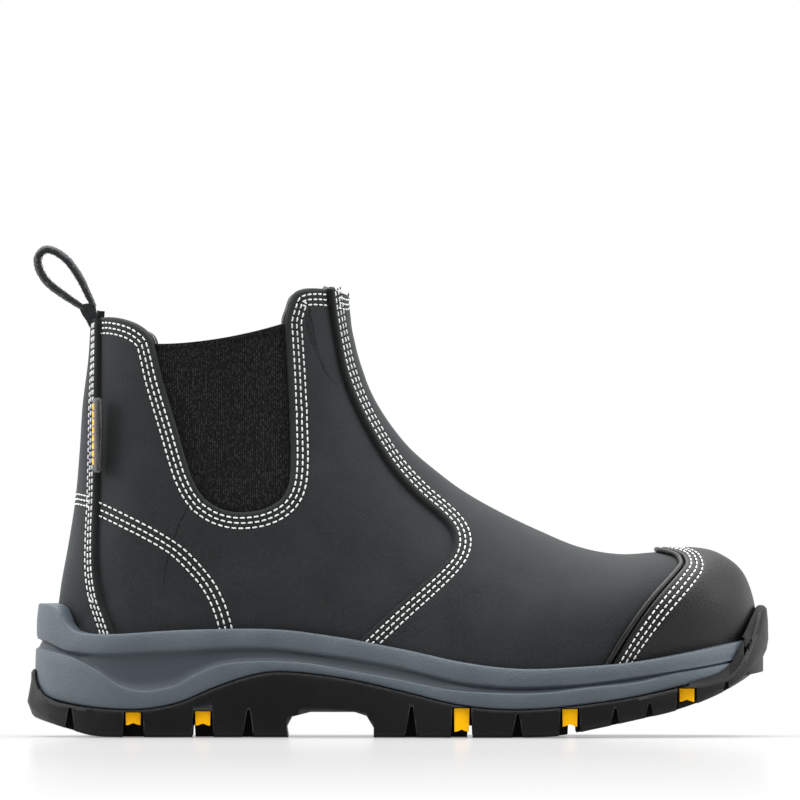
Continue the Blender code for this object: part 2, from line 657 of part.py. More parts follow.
def scuff_edge(surface, offset):
    """The rear edge of the scuff cap: back to a peak on the centre line, then down the side."""
    side_line = surface.find(smooth(SCUFF_EDGE_SIDE, 60), offset)
    side_line[-1][1] = 1.0
    peak = np.array([[SCUFF_PEAK_K, 0.0]])
    near = np.array([[SCUFF_PEAK_K - 0.08, side_line[0][1] * 0.35]])
    shoulder = np.array([[side_line[0][0] + 0.12, side_line[0][1] * 0.78]])
    joined = catmull(np.vstack([peak, near, shoulder, side_line[:1]]), np.linspace(0, 3, 30))
    return np.vstack([joined, side_line[1:]])


def make_scuff_cap():
    patches = []
    for surface in SURFACES.values():
        edge = resample(surface, scuff_edge(surface, SCUFF_LAYER[1]), 13)
        toe = np.stack([np.zeros(len(edge)), np.linspace(0, 1, len(edge))], axis=1)
        patches.append((surface, blend_rows(toe, edge, 11)))
    layer_object("scuff_cap", patches, SCUFF_LAYER, "coated_leather")


def tube(name, points, radius, material, resolution=2):
    """A closed round bar along points in millimetres."""
    curve = bpy.data.curves.new(name, "CURVE")
    curve.dimensions = "3D"
    spline = curve.splines.new("POLY")
    spline.points.add(len(points) - 1)
    for target, place in zip(spline.points, metres(points)):
        target.co = (*place, 1)
    curve.bevel_depth = radius * MM
    curve.bevel_resolution = resolution
    curve.use_fill_caps = True
    curve.materials.append(MATERIALS[material])
    obj = bpy.data.objects.new(name, curve)
    BOOT.objects.link(obj)
    return obj


def make_piping():
    """The bead that binds the scuff cap's rear edge, lying on the vamp just behind it."""
    height = OVERLAY_LAYER[1] + CLEARANCE + PIPING_RADIUS
    line = []
    for side in (LATERAL, MEDIAL):
        surface = SURFACES[side]
        edge = resample(surface, scuff_edge(surface, SCUFF_LAYER[1]), 40)[:-5]
        back = np.stack([edge[:, 0] + 0.14, edge[:, 1]], axis=1)
        points = even(surface.at(back, height), 18)
        line += list(points[::-1]) if side == LATERAL else list(points[1:])
    tube("scuff_cap_piping", line, PIPING_RADIUS, "binding")


def make_steel_toe_cap():
    """A pressed steel dome over the toes, whose rim stands above the floor of the cup."""
    last_k = 4.7
    patches = []
    for surface in SURFACES.values():
        k = np.linspace(0, last_k, 11)
        t = np.linspace(0, 1, 9)
        grid = np.stack(np.meshgrid(k, t, indexing="ij"), axis=-1)
        patches.append((surface, grid))
    obj = layer_object("steel_toe_cap", patches, STEEL_LAYER, "steel")
    for vertex in obj.data.vertices:
        floor = floor_z(vertex.co.x / MM - CENTRE_SHIFT[0]) + UPPER_FOOT
        vertex.co.z = max(vertex.co.z, (floor + FLANGE_RISE) * MM)


def make_toe_edge_strip():
    """Soft strip behind the steel cap's rear edge, which keeps it from cutting into the foot."""
    patches = []
    for surface in SURFACES.values():
        k = np.linspace(4.8, 5.35, 3)
        t = np.linspace(0, 0.8, 8)
        patches.append((surface, np.stack(np.meshgrid(k, t, indexing="ij"), axis=-1)))
    layer_object("toe_cap_edge_strip", patches, STEEL_LAYER, "foam")


def make_heel_counter():
    """The stiff cup round the heel, under the curved rows of stitching."""
    patches = []
    for surface in SURFACES.values():
        top = resample(surface, seam_kt(surface, COUNTER_EDGE), 15)
        down = densify([(top[0][0], 1.0), (HEEL_STATION, 1.0)], 30)
        along = densify([(HEEL_STATION, 1.0), (top[-1][0], 1.0)], 60)
        base = np.vstack([resample(surface, down, 6), resample(surface, along, 10)[1:]])
        patches.append((surface, blend_rows(base, top, 6)))
    layer_object("heel_counter", patches, STIFFENER_LAYER, "stiffener")


def make_linings():
    patches = []
    for surface in SURFACES.values():
        centre, edge = vamp_lines(surface, 0.0, 13, 13, trim=LINING_SEAM)
        edge = np.stack([edge[:, 0], np.minimum(edge[:, 1], LINING_END_T)], axis=1)
        patches.append((surface, blend_rows(centre, edge, 7)))
    layer_object("vamp_lining", patches, LINING_LAYER, "lining")
    for name, side in SIDES.items():
        surface = SURFACES[side]
        inner, outer = quarter_lines(surface, GORE_EDGE, LINING_BACK_GAP, -LINING_SEAM, COLLAR_LINING_DROP,
                                     LINING_END_T)
        grid = blend_rows(inner, outer, 7)
        layer_object(f"{name}_quarter_lining", [(surface, grid)], LINING_LAYER, "lining")


# ---------------------------------------------------------------- sole unit


def ring_points(plan, heights):
    """A ring in plan with its heights, in 3D."""
    return np.column_stack([plan, heights])


def ring_loft(name, rings, material):
    """A closed solid through rings, capped across by rungs between the two sides."""
    count = RING_COUNT
    points = np.vstack(rings)
    faces = []
    for level in range(len(rings) - 1):
        for i in range(count):
            a, b = level * count + i, level * count + (i + 1) % count
            faces.append((a, b, b + count, a + count))
    last = (len(rings) - 1) * count
    for i in range(count // 2):
        across = (i, i + 1, (count - i - 1) % count, (count - i) % count)
        corners = tuple(dict.fromkeys(across))
        faces.append(corners[::-1])
        faces.append(tuple(last + c for c in corners))
    return mesh_object(name, points, faces, material)


def near_toe(width):
    """1 at the ring's toe point, falling to 0 at width points from it."""
    steps = np.abs(np.arange(RING_COUNT) - RING_HALF)
    return np.clip(1 - steps / width, 0, 1)


def near_heel(width):
    """1 at the ring's heel point, falling to 0 at width points from it."""
    steps = np.minimum(np.arange(RING_COUNT), RING_COUNT - np.arange(RING_COUNT))
    return np.clip(1 - steps / width, 0, 1)


def ease(x):
    return x * x * (3 - 2 * x)


def cup_clearance(x):
    """How far the midsole's cup stands off the master surface: past one or two layers of leather."""
    steps = [(-160, OVERLAY_LAYER[1]), (-114, OVERLAY_LAYER[1]), (-104, 0), (-50, 0), (-38, OVERLAY_LAYER[1]),
             (76, OVERLAY_LAYER[1]), (86, SCUFF_LAYER[1]), (160, SCUFF_LAYER[1])]
    table = np.array(steps)
    return np.interp(x, table[:, 0], table[:, 1]) + 0.9


def midsole_rings():
    """Rings of the midsole, from its underside, up the moulded side, over the lip and into the cup."""
    x = RING[:, 0]
    bed = bed_z(x) + SOLE_SPLIT_GAP
    lip, groove = feather_z(x), groove_z(x)
    inner = upper_inset(lip) - cup_clearance(x)
    rim = np.maximum(inner - 1.2, np.minimum(1.9, inner - 0.5))
    levels = [
        (3.6, bed),
        (1.2, bed),
        (0.3, bed + (groove - bed) * 0.2),
        (0.1, bed + (groove - bed) * 0.45),
        (1.0, bed + (groove - bed) * 0.88),
        (np.minimum(2.6, inner - 0.8), groove),
        (np.minimum(1.3, inner - 1.2), groove + (lip - groove) * 0.3),
        (np.minimum(1.6, inner - 1.0) * 0.6 + rim * 0.4, groove + (lip - groove) * 0.72),
        (rim, lip),
        (inner, lip - 1.0),
        (inner, floor_z(x)),
    ]
    return [ring_points(inset_ring(inset), z) for inset, z in levels]


def outsole_body():
    """The rubber before the tread is cut: a tray whose rim climbs at the toe and the heel's back."""
    x = RING[:, 0]
    toe, heel = ease(near_toe(BUMPER_HALF)), ease(near_heel(4))
    bumper, tab = np.clip(near_toe(BUMPER_HALF + 2) * 3, 0, 1), np.clip(near_heel(4) * 3, 0, 1)
    bed, ground = bed_z(x), ground_z(x)
    rim = np.where(near_toe(BUMPER_HALF) + near_heel(3) > 0, np.maximum(rim_z(x), bed), bed)
    flare = -HEEL_FLARE * heel - BUMPER_OUT * toe
    wall = 1.4 - 1.7 * bumper - 1.7 * tab
    top_inside = np.where(rim > feather_z(x) + 1.5, 1.0, wall - 0.25)
    outside = np.minimum(0.6 - BUMPER_OUT * 0.9 * toe, np.minimum(wall, top_inside) - RIM_THICK)
    shelf = np.clip(feather_z(x) + 0.9, bed, rim)
    step = np.clip(feather_z(x) + 0.5, bed, rim)
    levels = [
        (2.2 + flare * 0.4, ground),
        (0.6 + flare, ground + 1.8),
        (0.0 + flare, ground + (bed - ground) * 0.5),
        (outside - 0.5, bed + (rim - bed) * 0.6),
        (outside, rim),
        (top_inside, rim),
        (top_inside, shelf),
        (wall, step),
        (wall, bed),
        (3.6, bed),
    ]
    return ring_loft("outsole", [ring_points(inset_ring(inset), z) for inset, z in levels], "rubber")


def prism(name, outline, low, high, material="rubber"):
    """An outline in the XZ plane, (x, z), swept along Y from low to high."""
    points = [(x, low, z) for x, z in outline] + [(x, high, z) for x, z in outline]
    count = len(outline)
    faces = [tuple(range(count))[::-1], tuple(range(count, 2 * count))]
    faces += [(i, (i + 1) % count, (i + 1) % count + count, i + count) for i in range(count)]
    return mesh_object(name, points, faces, material)


def as_cutter(obj):
    """Keeps an object out of the boot, for the tread's boolean to use."""
    BOOT.objects.unlink(obj)
    CUTTERS.objects.link(obj)
    obj.hide_render = True
    obj.display_type = "WIRE"


def side_y(x, side):
    """The outline's y at x on one side."""
    half = half_ring(RING, side)
    return float(np.interp(x, half[:, 0], half[:, 1]))


def reach_range(x, side, reach):
    """The y range of a cut from beyond the sole's side to reach inside it."""
    edge = side_y(x, side)
    ends = (edge + side * 12, edge - side * reach)
    return min(ends), max(ends)


def channel_top(x, top):
    """The height of a side channel's roof."""
    return bed_z(x) - BED_COVER if top is None else top


def tread_cutters():
    """Everything that is cut out of the rubber's underside."""
    for side_name, side in SIDES.items():
        for i, (x, _, top) in enumerate(CHANNELS):
            low, high = ground_z(x) - 9, channel_top(x, top)
            half = CHANNEL_WIDTH / 2
            flare = half + 0.9
            outline = [(x - flare, low), (x + flare, low), (x + half - 0.3, high), (x - half + 0.3, high)]
            as_cutter(prism(f"channel_{side_name}_{i}", outline, *reach_range(x, side, CHANNEL_REACH)))
        for i, (x, width, apex) in enumerate(NOTCHES):
            low = ground_z(x) - 6
            outline = [(x - width, low), (x + width * 0.8, low), (x + 0.6, apex), (x - 0.5, apex)]
            as_cutter(prism(f"notch_{side_name}_{i}", outline, *reach_range(x, side, NOTCH_REACH)))
    as_cutter(prism("arch", ARCH, -80, 80))


def midline_cutters():
    """Lengthwise channels and cross channels between the middle blocks, shallower than the side ones."""
    spans = {"heel": (-135, -56, 5), "fore": (2, 128, 9)}
    for name, (start, end, count) in spans.items():
        xs = np.linspace(start, end, count + 1)
        for side_name, side in SIDES.items():
            tops, lows = [], []
            for x in np.linspace(start, end, 12):
                y = side_y(x, side) - side * (CHANNEL_REACH - MIDLINE_CHANNEL * 0.2)
                z = ground_z(x) + TREAD_DEPTH
                tops.append([(x, y - MIDLINE_CHANNEL / 2, z), (x, y + MIDLINE_CHANNEL / 2, z)])
                lows.append([(x, y - MIDLINE_CHANNEL / 2 - 0.8, -6), (x, y + MIDLINE_CHANNEL / 2 + 0.8, -6)])
            as_cutter(sweep_channel(f"long_{name}_{side_name}", tops, lows))
        for i, x in enumerate(xs[1:-1]):
            z = ground_z(x) + TREAD_DEPTH
            outline = [(x - 2.2, -6), (x + 2.2, -6), (x + 1.6, z - 0.4), (x - 1.6, z - 0.4)]
            inner = CHANNEL_REACH + 1.0
            ends = (side_y(x, LATERAL) + inner, side_y(x, MEDIAL) - inner)
            as_cutter(prism(f"cross_{name}_{i}", outline, *ends))


def sweep_channel(name, tops, lows):
    """A bar along the sole: pairs of upper points and of lower points, station by station."""
    points, faces = [], []
    for top, low in zip(tops, lows):
        points += [low[0], low[1], top[1], top[0]]
    for i in range(len(tops) - 1):
        a = 4 * i
        faces += [(a + j, a + (j + 1) % 4, a + 4 + (j + 1) % 4, a + 4 + j) for j in range(4)]
    faces += [(0, 1, 2, 3), tuple(len(points) - 4 + j for j in (3, 2, 1, 0))]
    return mesh_object(name, points, faces, "rubber")


def make_outsole():
    outsole = outsole_body()
    tread_cutters()
    midline_cutters()
    cut = outsole.modifiers.new("tread", "BOOLEAN")
    cut.operation = "DIFFERENCE"
    cut.operand_type = "COLLECTION"
    cut.collection = CUTTERS
    cut.solver = "EXACT"


def make_inserts():
    """Bright rubber blocks set in the side channels, with a hollowed foot."""
    for side_name, side in SIDES.items():
        for i, (x, foot, channel) in enumerate(CHANNELS):
            top = channel_top(x, channel) - CLEARANCE
            half = INSERT_WIDTH / 2
            outline = [(x + half, top), (x + half - 0.2, foot), (x + half * 0.55, foot + 0.3),
                       (x, foot + 1.0), (x - half * 0.55, foot + 0.3), (x - half + 0.2, foot),
                       (x - half, top)]
            edge = side_y(x, side) - side * INSERT_RECESS
            ends = sorted((edge, edge - side * INSERT_REACH))
            prism(f"tread_insert_{side_name}_{i + 1}", outline, *ends, "insert")


def make_midsole():
    ring_loft("midsole", midsole_rings(), "midsole_foam")


def inner_ring(extra):
    """The plan ring of what lies inside the linings, with more room round the heel's tight curve."""
    x = RING[:, 0]
    heel = 1.8 * np.clip((-90 - x) / 20, 0, 1)
    foot = np.maximum(feather_inset(x), upper_inset(feather_z(x)))
    return inset_ring(foot - LINING_LAYER[0] + heel + extra)


def make_insole_parts():
    """The puncture plate, the board that the upper is lasted to, and the foam footbed on top."""
    for name, stack, extra, material in (
        ("puncture_plate", PLATE_STACK, 1.6, "steel"),
        ("insole_board", BOARD_STACK, 2.6, "board"),
    ):
        plan = inner_ring(extra)
        floor = floor_z(plan[:, 0])
        ring_loft(name, [ring_points(plan, floor + stack[0]), ring_points(plan, floor + stack[1])], material)
    plan, inner = inner_ring(1.2), inner_ring(7.0)
    floor = floor_z(plan[:, 0])
    cup = HEEL_CUP_RISE * np.clip((-70 - plan[:, 0]) / 50, 0, 1)
    rings = [
        ring_points(inner_ring(2.4), floor + FOOTBED_STACK[0]),
        ring_points(plan, floor + FOOTBED_STACK[0] + 1.6),
        ring_points(inner_ring(2.0), floor + FOOTBED_STACK[1] + cup),
        ring_points(inner_ring(3.4), floor + FOOTBED_STACK[1] + cup),
        ring_points(inner, floor_z(inner[:, 0]) + FOOTBED_STACK[1] - 0.2),
    ]
    ring_loft("footbed", rings, "footbed_foam")


# ---------------------------------------------------------------- trim


def ribbon(name, path, width, thick, material, origin=None):
    """A strap whose middle runs along a side view path, as wide along Y as width."""
    path = np.asarray(path, float)
    tangent = np.gradient(path, axis=0)
    tangent /= np.linalg.norm(tangent, axis=1)[:, None]
    normal = np.stack([-tangent[:, 1], tangent[:, 0]], axis=1)
    points, faces = [], []
    for p, n in zip(path, normal):
        a, b = p + n * thick / 2, p - n * thick / 2
        points += [(a[0], -width / 2, a[1]), (a[0], width / 2, a[1])]
        points += [(b[0], width / 2, b[1]), (b[0], -width / 2, b[1])]
    for i in range(len(path) - 1):
        base = 4 * i
        faces += [(base + j, base + (j + 1) % 4, base + 4 + (j + 1) % 4, base + 4 + j) for j in range(4)]
    last = len(points) - 4
    faces += [(0, 1, 2, 3), (last + 3, last + 2, last + 1, last)]
    mesh_object(name, points, faces, material, origin)


def make_pull_loop():
    """The strap's loop, and its tail that is sewn between the backstay and the lining."""
    hinge = (LOOP_HINGE[0], 0, LOOP_HINGE[1])
    ribbon("pull_loop", smooth(LOOP_PATH, 30), LOOP_WIDTH, LOOP_THICK, "webbing", hinge)
    surface = SURFACES[LATERAL]
    top, bottom = LOOP_TAIL
    middle = (QUARTER_LAYER[0] + LINING_LAYER[1]) / 2
    heel = int(HEEL_STATION / K_STEP)
    tail = []
    for z in np.linspace(top, bottom, 4):
        k = np.interp(z, surface.back[heel:, 1], surface.k[heel:])
        point = surface.at(np.array([[k, 1.0]]), middle)[0]
        tail.append((point[0], point[2]))
    ribbon("pull_loop_tail", tail, LOOP_WIDTH * 0.45, 1.2, "webbing")


def make_side_tag():
    """A folded tag caught under the backstay's edge, standing off the quarter."""
    surface = SURFACES[LATERAL]
    middle_z = sum(TAG_Z) / 2
    kt = surface.find([(BACKSTAY_EDGE[2][0] + 0.9, middle_z)], OVERLAY_LAYER[1])
    root = surface.at(kt, OVERLAY_LAYER[1] + TAG_STANDOFF)[0]
    ahead = surface.at(kt - np.array([[0, 0.01]]), OVERLAY_LAYER[1])[0] - surface.at(kt, OVERLAY_LAYER[1])[0]
    ahead[2] = 0
    ahead /= np.linalg.norm(ahead)
    out = np.array([-ahead[1], ahead[0], 0.0])
    out *= -1 if out[1] > 0 else 1
    along = ahead * math.cos(TAG_LEAN) + out * math.sin(TAG_LEAN)
    across = -ahead * math.sin(TAG_LEAN) + out * math.cos(TAG_LEAN)
    points = []
    for z in TAG_Z:
        for a, b in ((0, 0), (TAG_LENGTH, 0.15), (TAG_LENGTH, 0.85), (0, 1)):
            p = root + along * a + across * (b * TAG_THICK)
            points.append((p[0], p[1], z))
    faces = [(3, 2, 1, 0), (4, 5, 6, 7), (0, 1, 5, 4), (1, 2, 6, 5), (2, 3, 7, 6), (3, 0, 4, 7)]
    mesh_object("side_tag", points, faces, "tag", (root[0], root[1], middle_z))


# ---------------------------------------------------------------- materials and scene

MATERIAL_VALUES = {
    "waxy_leather": ((0.035, 0.040, 0.042), 0.75, 0.0),
    "coated_leather": ((0.020, 0.021, 0.022), 0.55, 0.0),
    "binding": ((0.012, 0.012, 0.013), 0.6, 0.0),
    "elastic": ((0.012, 0.012, 0.014), 0.9, 0.0),
    "webbing": ((0.040, 0.043, 0.045), 0.85, 0.0),
    "lining": ((0.060, 0.062, 0.066), 0.95, 0.0),
    "midsole_foam": ((0.150, 0.180, 0.205), 0.6, 0.0),
    "rubber": ((0.014, 0.014, 0.015), 0.6, 0.0),
    "insert": ((0.900, 0.480, 0.010), 0.5, 0.0),
    "steel": ((0.550, 0.560, 0.570), 0.35, 1.0),
    "stiffener": ((0.550, 0.500, 0.420), 0.7, 0.0),
    "foam": ((0.080, 0.080, 0.085), 0.95, 0.0),
    "board": ((0.480, 0.420, 0.330), 0.9, 0.0),
    "footbed_foam": ((0.050, 0.052, 0.056), 0.9, 0.0),
    "tag": ((0.025, 0.026, 0.028), 0.7, 0.0),
}


def make_materials():
    made = {}
    for name, (colour, roughness, metallic) in MATERIAL_VALUES.items():
        material = bpy.data.materials.new(name)
        material.use_nodes = True
        shader = material.node_tree.nodes["Principled BSDF"]
        shader.inputs["Base Color"].default_value = (*colour, 1)
        shader.inputs["Roughness"].default_value = roughness
        shader.inputs["Metallic"].default_value = metallic
        made[name] = material
    return made


def new_collection(name):
    collection = bpy.data.collections.new(name)
    bpy.context.scene.collection.children.link(collection)
    return collection


for old in list(bpy.data.objects):
    bpy.data.objects.remove(old)
BOOT = new_collection("steel_toe_work_boot")
CUTTERS = new_collection("cutters")
MATERIALS = make_materials()

make_outsole()
make_inserts()
make_midsole()
make_insole_parts()
make_steel_toe_cap()
make_toe_edge_strip()
make_heel_counter()
make_linings()
make_gores()
make_quarters()
make_backstay()
make_vamp()
make_scuff_cap()
make_piping()
make_pull_loop()
make_side_tag()
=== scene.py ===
"""Looks of the slip-on steel toe work boot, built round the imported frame.

The frame has +X towards the toe, +Z up and -Y on the outer (lateral) side. Lengths are in millimetres
until a mesh is made. The upper's panels are patches of one master surface: a place on it is (k, t),
where k counts the stations from the toe tip to the collar and t runs from the front centre line (0)
to the sole or the back seam (1).
"""

import json
import math

import bmesh
import bpy
import numpy as np
from mathutils.kdtree import KDTree
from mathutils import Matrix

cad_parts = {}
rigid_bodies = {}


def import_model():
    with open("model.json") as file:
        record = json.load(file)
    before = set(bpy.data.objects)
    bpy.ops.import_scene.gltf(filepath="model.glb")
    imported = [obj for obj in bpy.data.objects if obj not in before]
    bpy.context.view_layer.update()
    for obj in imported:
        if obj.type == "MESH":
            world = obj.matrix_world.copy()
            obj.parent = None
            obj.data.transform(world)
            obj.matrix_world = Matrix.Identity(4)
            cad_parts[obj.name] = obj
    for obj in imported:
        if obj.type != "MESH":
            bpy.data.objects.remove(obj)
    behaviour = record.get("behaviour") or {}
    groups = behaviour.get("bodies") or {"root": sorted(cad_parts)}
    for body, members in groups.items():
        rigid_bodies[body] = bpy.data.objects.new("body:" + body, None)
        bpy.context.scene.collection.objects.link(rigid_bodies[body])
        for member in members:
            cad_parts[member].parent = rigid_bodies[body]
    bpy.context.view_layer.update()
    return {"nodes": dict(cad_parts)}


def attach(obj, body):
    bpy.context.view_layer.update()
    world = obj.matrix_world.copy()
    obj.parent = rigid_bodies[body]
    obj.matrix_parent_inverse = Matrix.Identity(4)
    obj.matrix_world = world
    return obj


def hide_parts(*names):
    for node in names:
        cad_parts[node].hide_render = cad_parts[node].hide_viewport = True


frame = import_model()

MM = 0.001
CENTRE_SHIFT = (0.65, 0.0, 0.0)
JOIN_DISTANCE = 0.02
LATERAL, MEDIAL = -1, 1
SIDES = {"lateral": LATERAL, "medial": MEDIAL}

# Distance of each layer's inner and outer face from the master surface.
QUARTER_LAYER = (-3.0, -0.4)
OVERLAY_LAYER = (-0.3, 2.3)
SCUFF_LAYER = (2.35, 4.4)
GORE_LAYER = (-4.2, -3.1)
LINING_LAYER = (-6.2, -4.3)
STITCH_ROWS = (2.4, 4.6, 6.8)
UPPER_FOOT = 0.6
FOOT_CLEARANCE = 1.1
LINING_END_T = 0.96

# Plan outline of the sole at its widest, from the heel's back round the lateral side and the toe.
OUTLINE = [
    (-153.3, 0), (-148.5, -19), (-137, -32), (-118, -40), (-95, -41.5), (-60, -39.5), (-30, -41),
    (0, -47.5), (30, -54.3), (60, -56), (88, -53.2), (112, -46.2), (132, -36), (146.2, -19.5), (152.2, 4),
    (149.8, 22), (142.2, 36), (127.5, 46), (108, 53), (82, 56), (55, 55), (28, 49.5), (0, 42.8),
    (-30, 38), (-60, 38.8), (-95, 41), (-118, 40), (-137, 32), (-148.5, 19),
]
TOE_INDEX = 14
RING_HALF = 330

# Side view lines of the sole unit, (x, z).
FLOOR_LINE = [(-160, 33), (-130, 33), (-95, 33), (-60, 32.2), (-20, 28.3), (15, 22.6), (50, 19.6),
              (80, 20.4), (110, 23.4), (135, 27.5), (160, 32)]
FEATHER_LINE = [(-160, 56), (-150, 55.5), (-145, 53.5), (-141, 47.3), (-135, 43.8), (-120, 43.2),
                (-90, 44.9), (-55, 45.3), (-30, 42.5), (0, 37), (25, 31.6), (50, 28.8), (75, 29.6),
                (100, 31.8), (125, 36), (141, 39.2), (160, 43)]
GROOVE_LINE = [(-160, 41), (-150, 39.5), (-140, 35.6), (-125, 34.3), (-100, 35.5), (-60, 37), (-30, 33.9),
               (0, 28.7), (25, 22.7), (50, 20.7), (80, 22.3), (112, 26.7), (135, 30.5), (160, 36)]
SPLIT_LINE = [(-160, 19), (-150, 16.8), (-143, 14.6), (-130, 12.4), (-110, 11.4), (-93, 14.2), (-78, 20.4),
              (-62, 25.7), (-48, 27.2), (-25, 24.7), (0, 19.3), (25, 13.4), (50, 11.5), (80, 14),
              (110, 19.2), (135, 26.5), (160, 36)]
GROUND_LINE = [(-160, 9.5), (-150, 6.2), (-141, 3.4), (-130, 0.6), (-118, 0), (-95, 0), (-50, 0),
               (10, 0), (45, 0), (66, 0.6), (82, 3.6), (100, 7.4), (116, 11), (133, 16.8), (146, 23),
               (160, 31)]
TREAD_DEPTH = 5.2
SOLE_SPLIT_GAP = 0.3

# The rubber's rim in the side view where it climbs past the midsole, at the heel's back and the toe,
# and how far it stands out there. A half width counts points of the ring.
HEEL_RIM = [(-160, 28.6), (-153.3, 28.2), (-152.2, 25), (-151.2, 21.5), (-149, 17.9), (-145.4, 15.6),
            (-139, 13.5)]
TOE_RIM = [(110, 19.2), (120, 22.5), (130, 25.6), (135, 28), (139, 31.8), (142.5, 38.5), (146, 45),
           (149, 51), (152.2, 55), (160, 55)]
BUMPER_HALF = 5
BUMPER_OUT = 3.2
RIM_THICK = 1.1
BED_BELOW_FLOOR = 3.5

# How far the master surface's foot stands inside the outline, by x.
FEATHER_INSET = [(-160, 11.6), (-140, 9.4), (-120, 7.4), (-90, 6.7), (60, 6.7), (85, 8.2), (115, 8.4),
                 (135, 8), (152, 5.8)]

# Stations of the master surface: front point (x, z), foot or back point (x, z), half width on the
# lateral and the medial side, share of the section where it is widest, roundness, centre line's y.
# A foot height of None stands on the floor line, and a foot x past the heel closes on the back seam.
STATIONS = [
    ((145.4, 50), (145.4, None), 0.0, 0.0, 0.60, 2.2, 5.0),
    ((143.7, 58.5), (142.8, None), 13.4, 14.2, 0.60, 2.3, 5.0),
    ((140.2, 66.6), (135.0, None), 23.6, 24.6, 0.60, 2.4, 4.9),
    ((134.0, 71.8), (122.6, None), 32.4, 33.2, 0.62, 2.4, 4.4),
    ((125.8, 74.6), (107.7, None), 38.4, 39.2, 0.64, 2.4, 3.4),
    ((110.0, 75.0), (90.0, None), 44.2, 45.0, 0.70, 2.35, 2.0),
    ((92.0, 74.1), (70.0, None), 48.6, 48.6, 0.75, 2.25, 0.6),
    ((74.7, 77.2), (50.0, None), 49.8, 48.0, 0.76, 2.1, 0.0),
    ((57.0, 84.4), (28.0, None), 47.8, 44.6, 0.75, 2.0, 0.0),
    ((39.2, 93.0), (5.0, None), 43.6, 40.0, 0.72, 1.95, 0.0),
    ((24.7, 101.4), (-18.0, None), 39.6, 37.0, 0.68, 1.95, 0.0),
    ((13.2, 110.0), (-42.0, None), 36.8, 35.2, 0.64, 2.0, 0.0),
    ((3.4, 118.4), (-66.0, None), 35.8, 35.0, 0.60, 2.05, 0.0),
    ((-4.0, 127.0), (-90.0, None), 35.8, 35.4, 0.57, 2.1, 0.0),
    ((-10.4, 136.4), (-112.0, None), 35.8, 35.6, 0.55, 2.15, 0.0),
    ((-14.8, 144.8), (-128.8, None), 35.7, 35.6, 0.54, 2.2, 0.0),
    ((-17.7, 152.6), (-138.6, 36.0), 35.6, 35.5, 0.54, 2.2, 0.0),
    ((-19.8, 159.2), (-141.9, 43.0), 35.4, 35.4, 0.54, 2.2, 0.0),
    ((-21.3, 165.4), (-140.3, 61.5), 35.2, 35.2, 0.54, 2.2, 0.0),
    ((-22.4, 170.6), (-137.1, 79.6), 35.0, 35.0, 0.53, 2.2, 0.0),
    ((-23.0, 175.6), (-134.1, 98.8), 35.0, 35.0, 0.52, 2.2, 0.0),
    ((-23.5, 180.4), (-132.3, 119.0), 35.4, 35.4, 0.51, 2.2, 0.0),
    ((-23.8, 185.2), (-131.0, 139.0), 36.0, 36.0, 0.50, 2.2, 0.0),
    ((-24.0, 190.0), (-128.6, 158.4), 36.8, 36.8, 0.50, 2.2, 0.0),
    ((-24.1, 195.5), (-127.4, 178.5), 37.6, 37.6, 0.50, 2.2, 0.0),
]
HEEL_STATION = 17
TOP_STATION = len(STATIONS) - 1

# Seams and edges of the upper in the side view, (x, z).
VAMP_EDGE = [(-28.8, 187.6), (-27.6, 178), (-26.0, 168), (-23.3, 154), (-18.6, 141), (-11.3, 126.5),
             (-2.6, 112.8), (7.2, 101.8), (16.5, 93.8), (21.4, 88.2), (22.9, 82.6), (21.6, 77.3),
             (17.4, 72.0), (9.5, 64.6), (0, 56.2), (-9, 48), (-17, 40.4), (-27, 30.5)]
BACKSTAY_EDGE = [(-127.7, 175.4), (-127.6, 160), (-127.6, 140), (-127.6, 120), (-127.8, 100), (-128.2, 82),
                 (-127.6, 68), (-125.4, 57), (-122.4, 49), (-119.6, 41), (-117.5, 34)]
GORE_EDGE = [(-105.5, 168.0), (-103.2, 162), (-100.2, 150), (-97.0, 139.5), (-93.6, 128.5), (-90.2, 117),
             (-87.2, 108.5), (-83.2, 101.5), (-77.5, 96.8), (-71, 94.5), (-64.5, 94.2), (-57.5, 95.4),
             (-51.4, 98.4), (-47.5, 102.8), (-45.7, 109), (-45.2, 119), (-45.5, 135), (-46.0, 152),
             (-46.9, 168), (-47.2, 174)]
BACK_TOP_EDGE = [(-127.6, 175.6), (-122.5, 175.9), (-116, 174.6), (-110.5, 172.2), (-105.5, 168.0)]
FRONT_TOP_EDGE = [(-47.2, 174), (-45.6, 180), (-43.4, 185.2), (-39.6, 187.3), (-34.5, 187.8), (-28.9, 187.5)]
SCUFF_EDGE_SIDE = [(119.2, 74.9), (119.4, 72.9), (116.6, 69.2), (108.4, 59.8), (102.8, 52.6), (97.0, 44),
                   (91.8, 35.4), (88.0, 28.6), (85.4, 23.6)]
SCUFF_PEAK_K = 5.02
COUNTER_EDGE = [(-131.5, 99.6), (-125, 97.6), (-110, 90.4), (-100, 85), (-90, 78.2), (-80, 67.4),
                (-74.6, 58.4), (-71.6, 50), (-70.2, 44.6)]
VAMP_TURN_K = 6.2
VAMP_BEND_K = 9.0
VAMP_TOP_K = 23.75
VAMP_UNDERLAP = 4.2
BACKSTAY_UNDERLAP = 6.0
GORE_UNDERLAP = 7.0
COLLAR_LINING_DROP = 1.5
LINING_SEAM = 3.0
LINING_BACK_GAP = 0.6

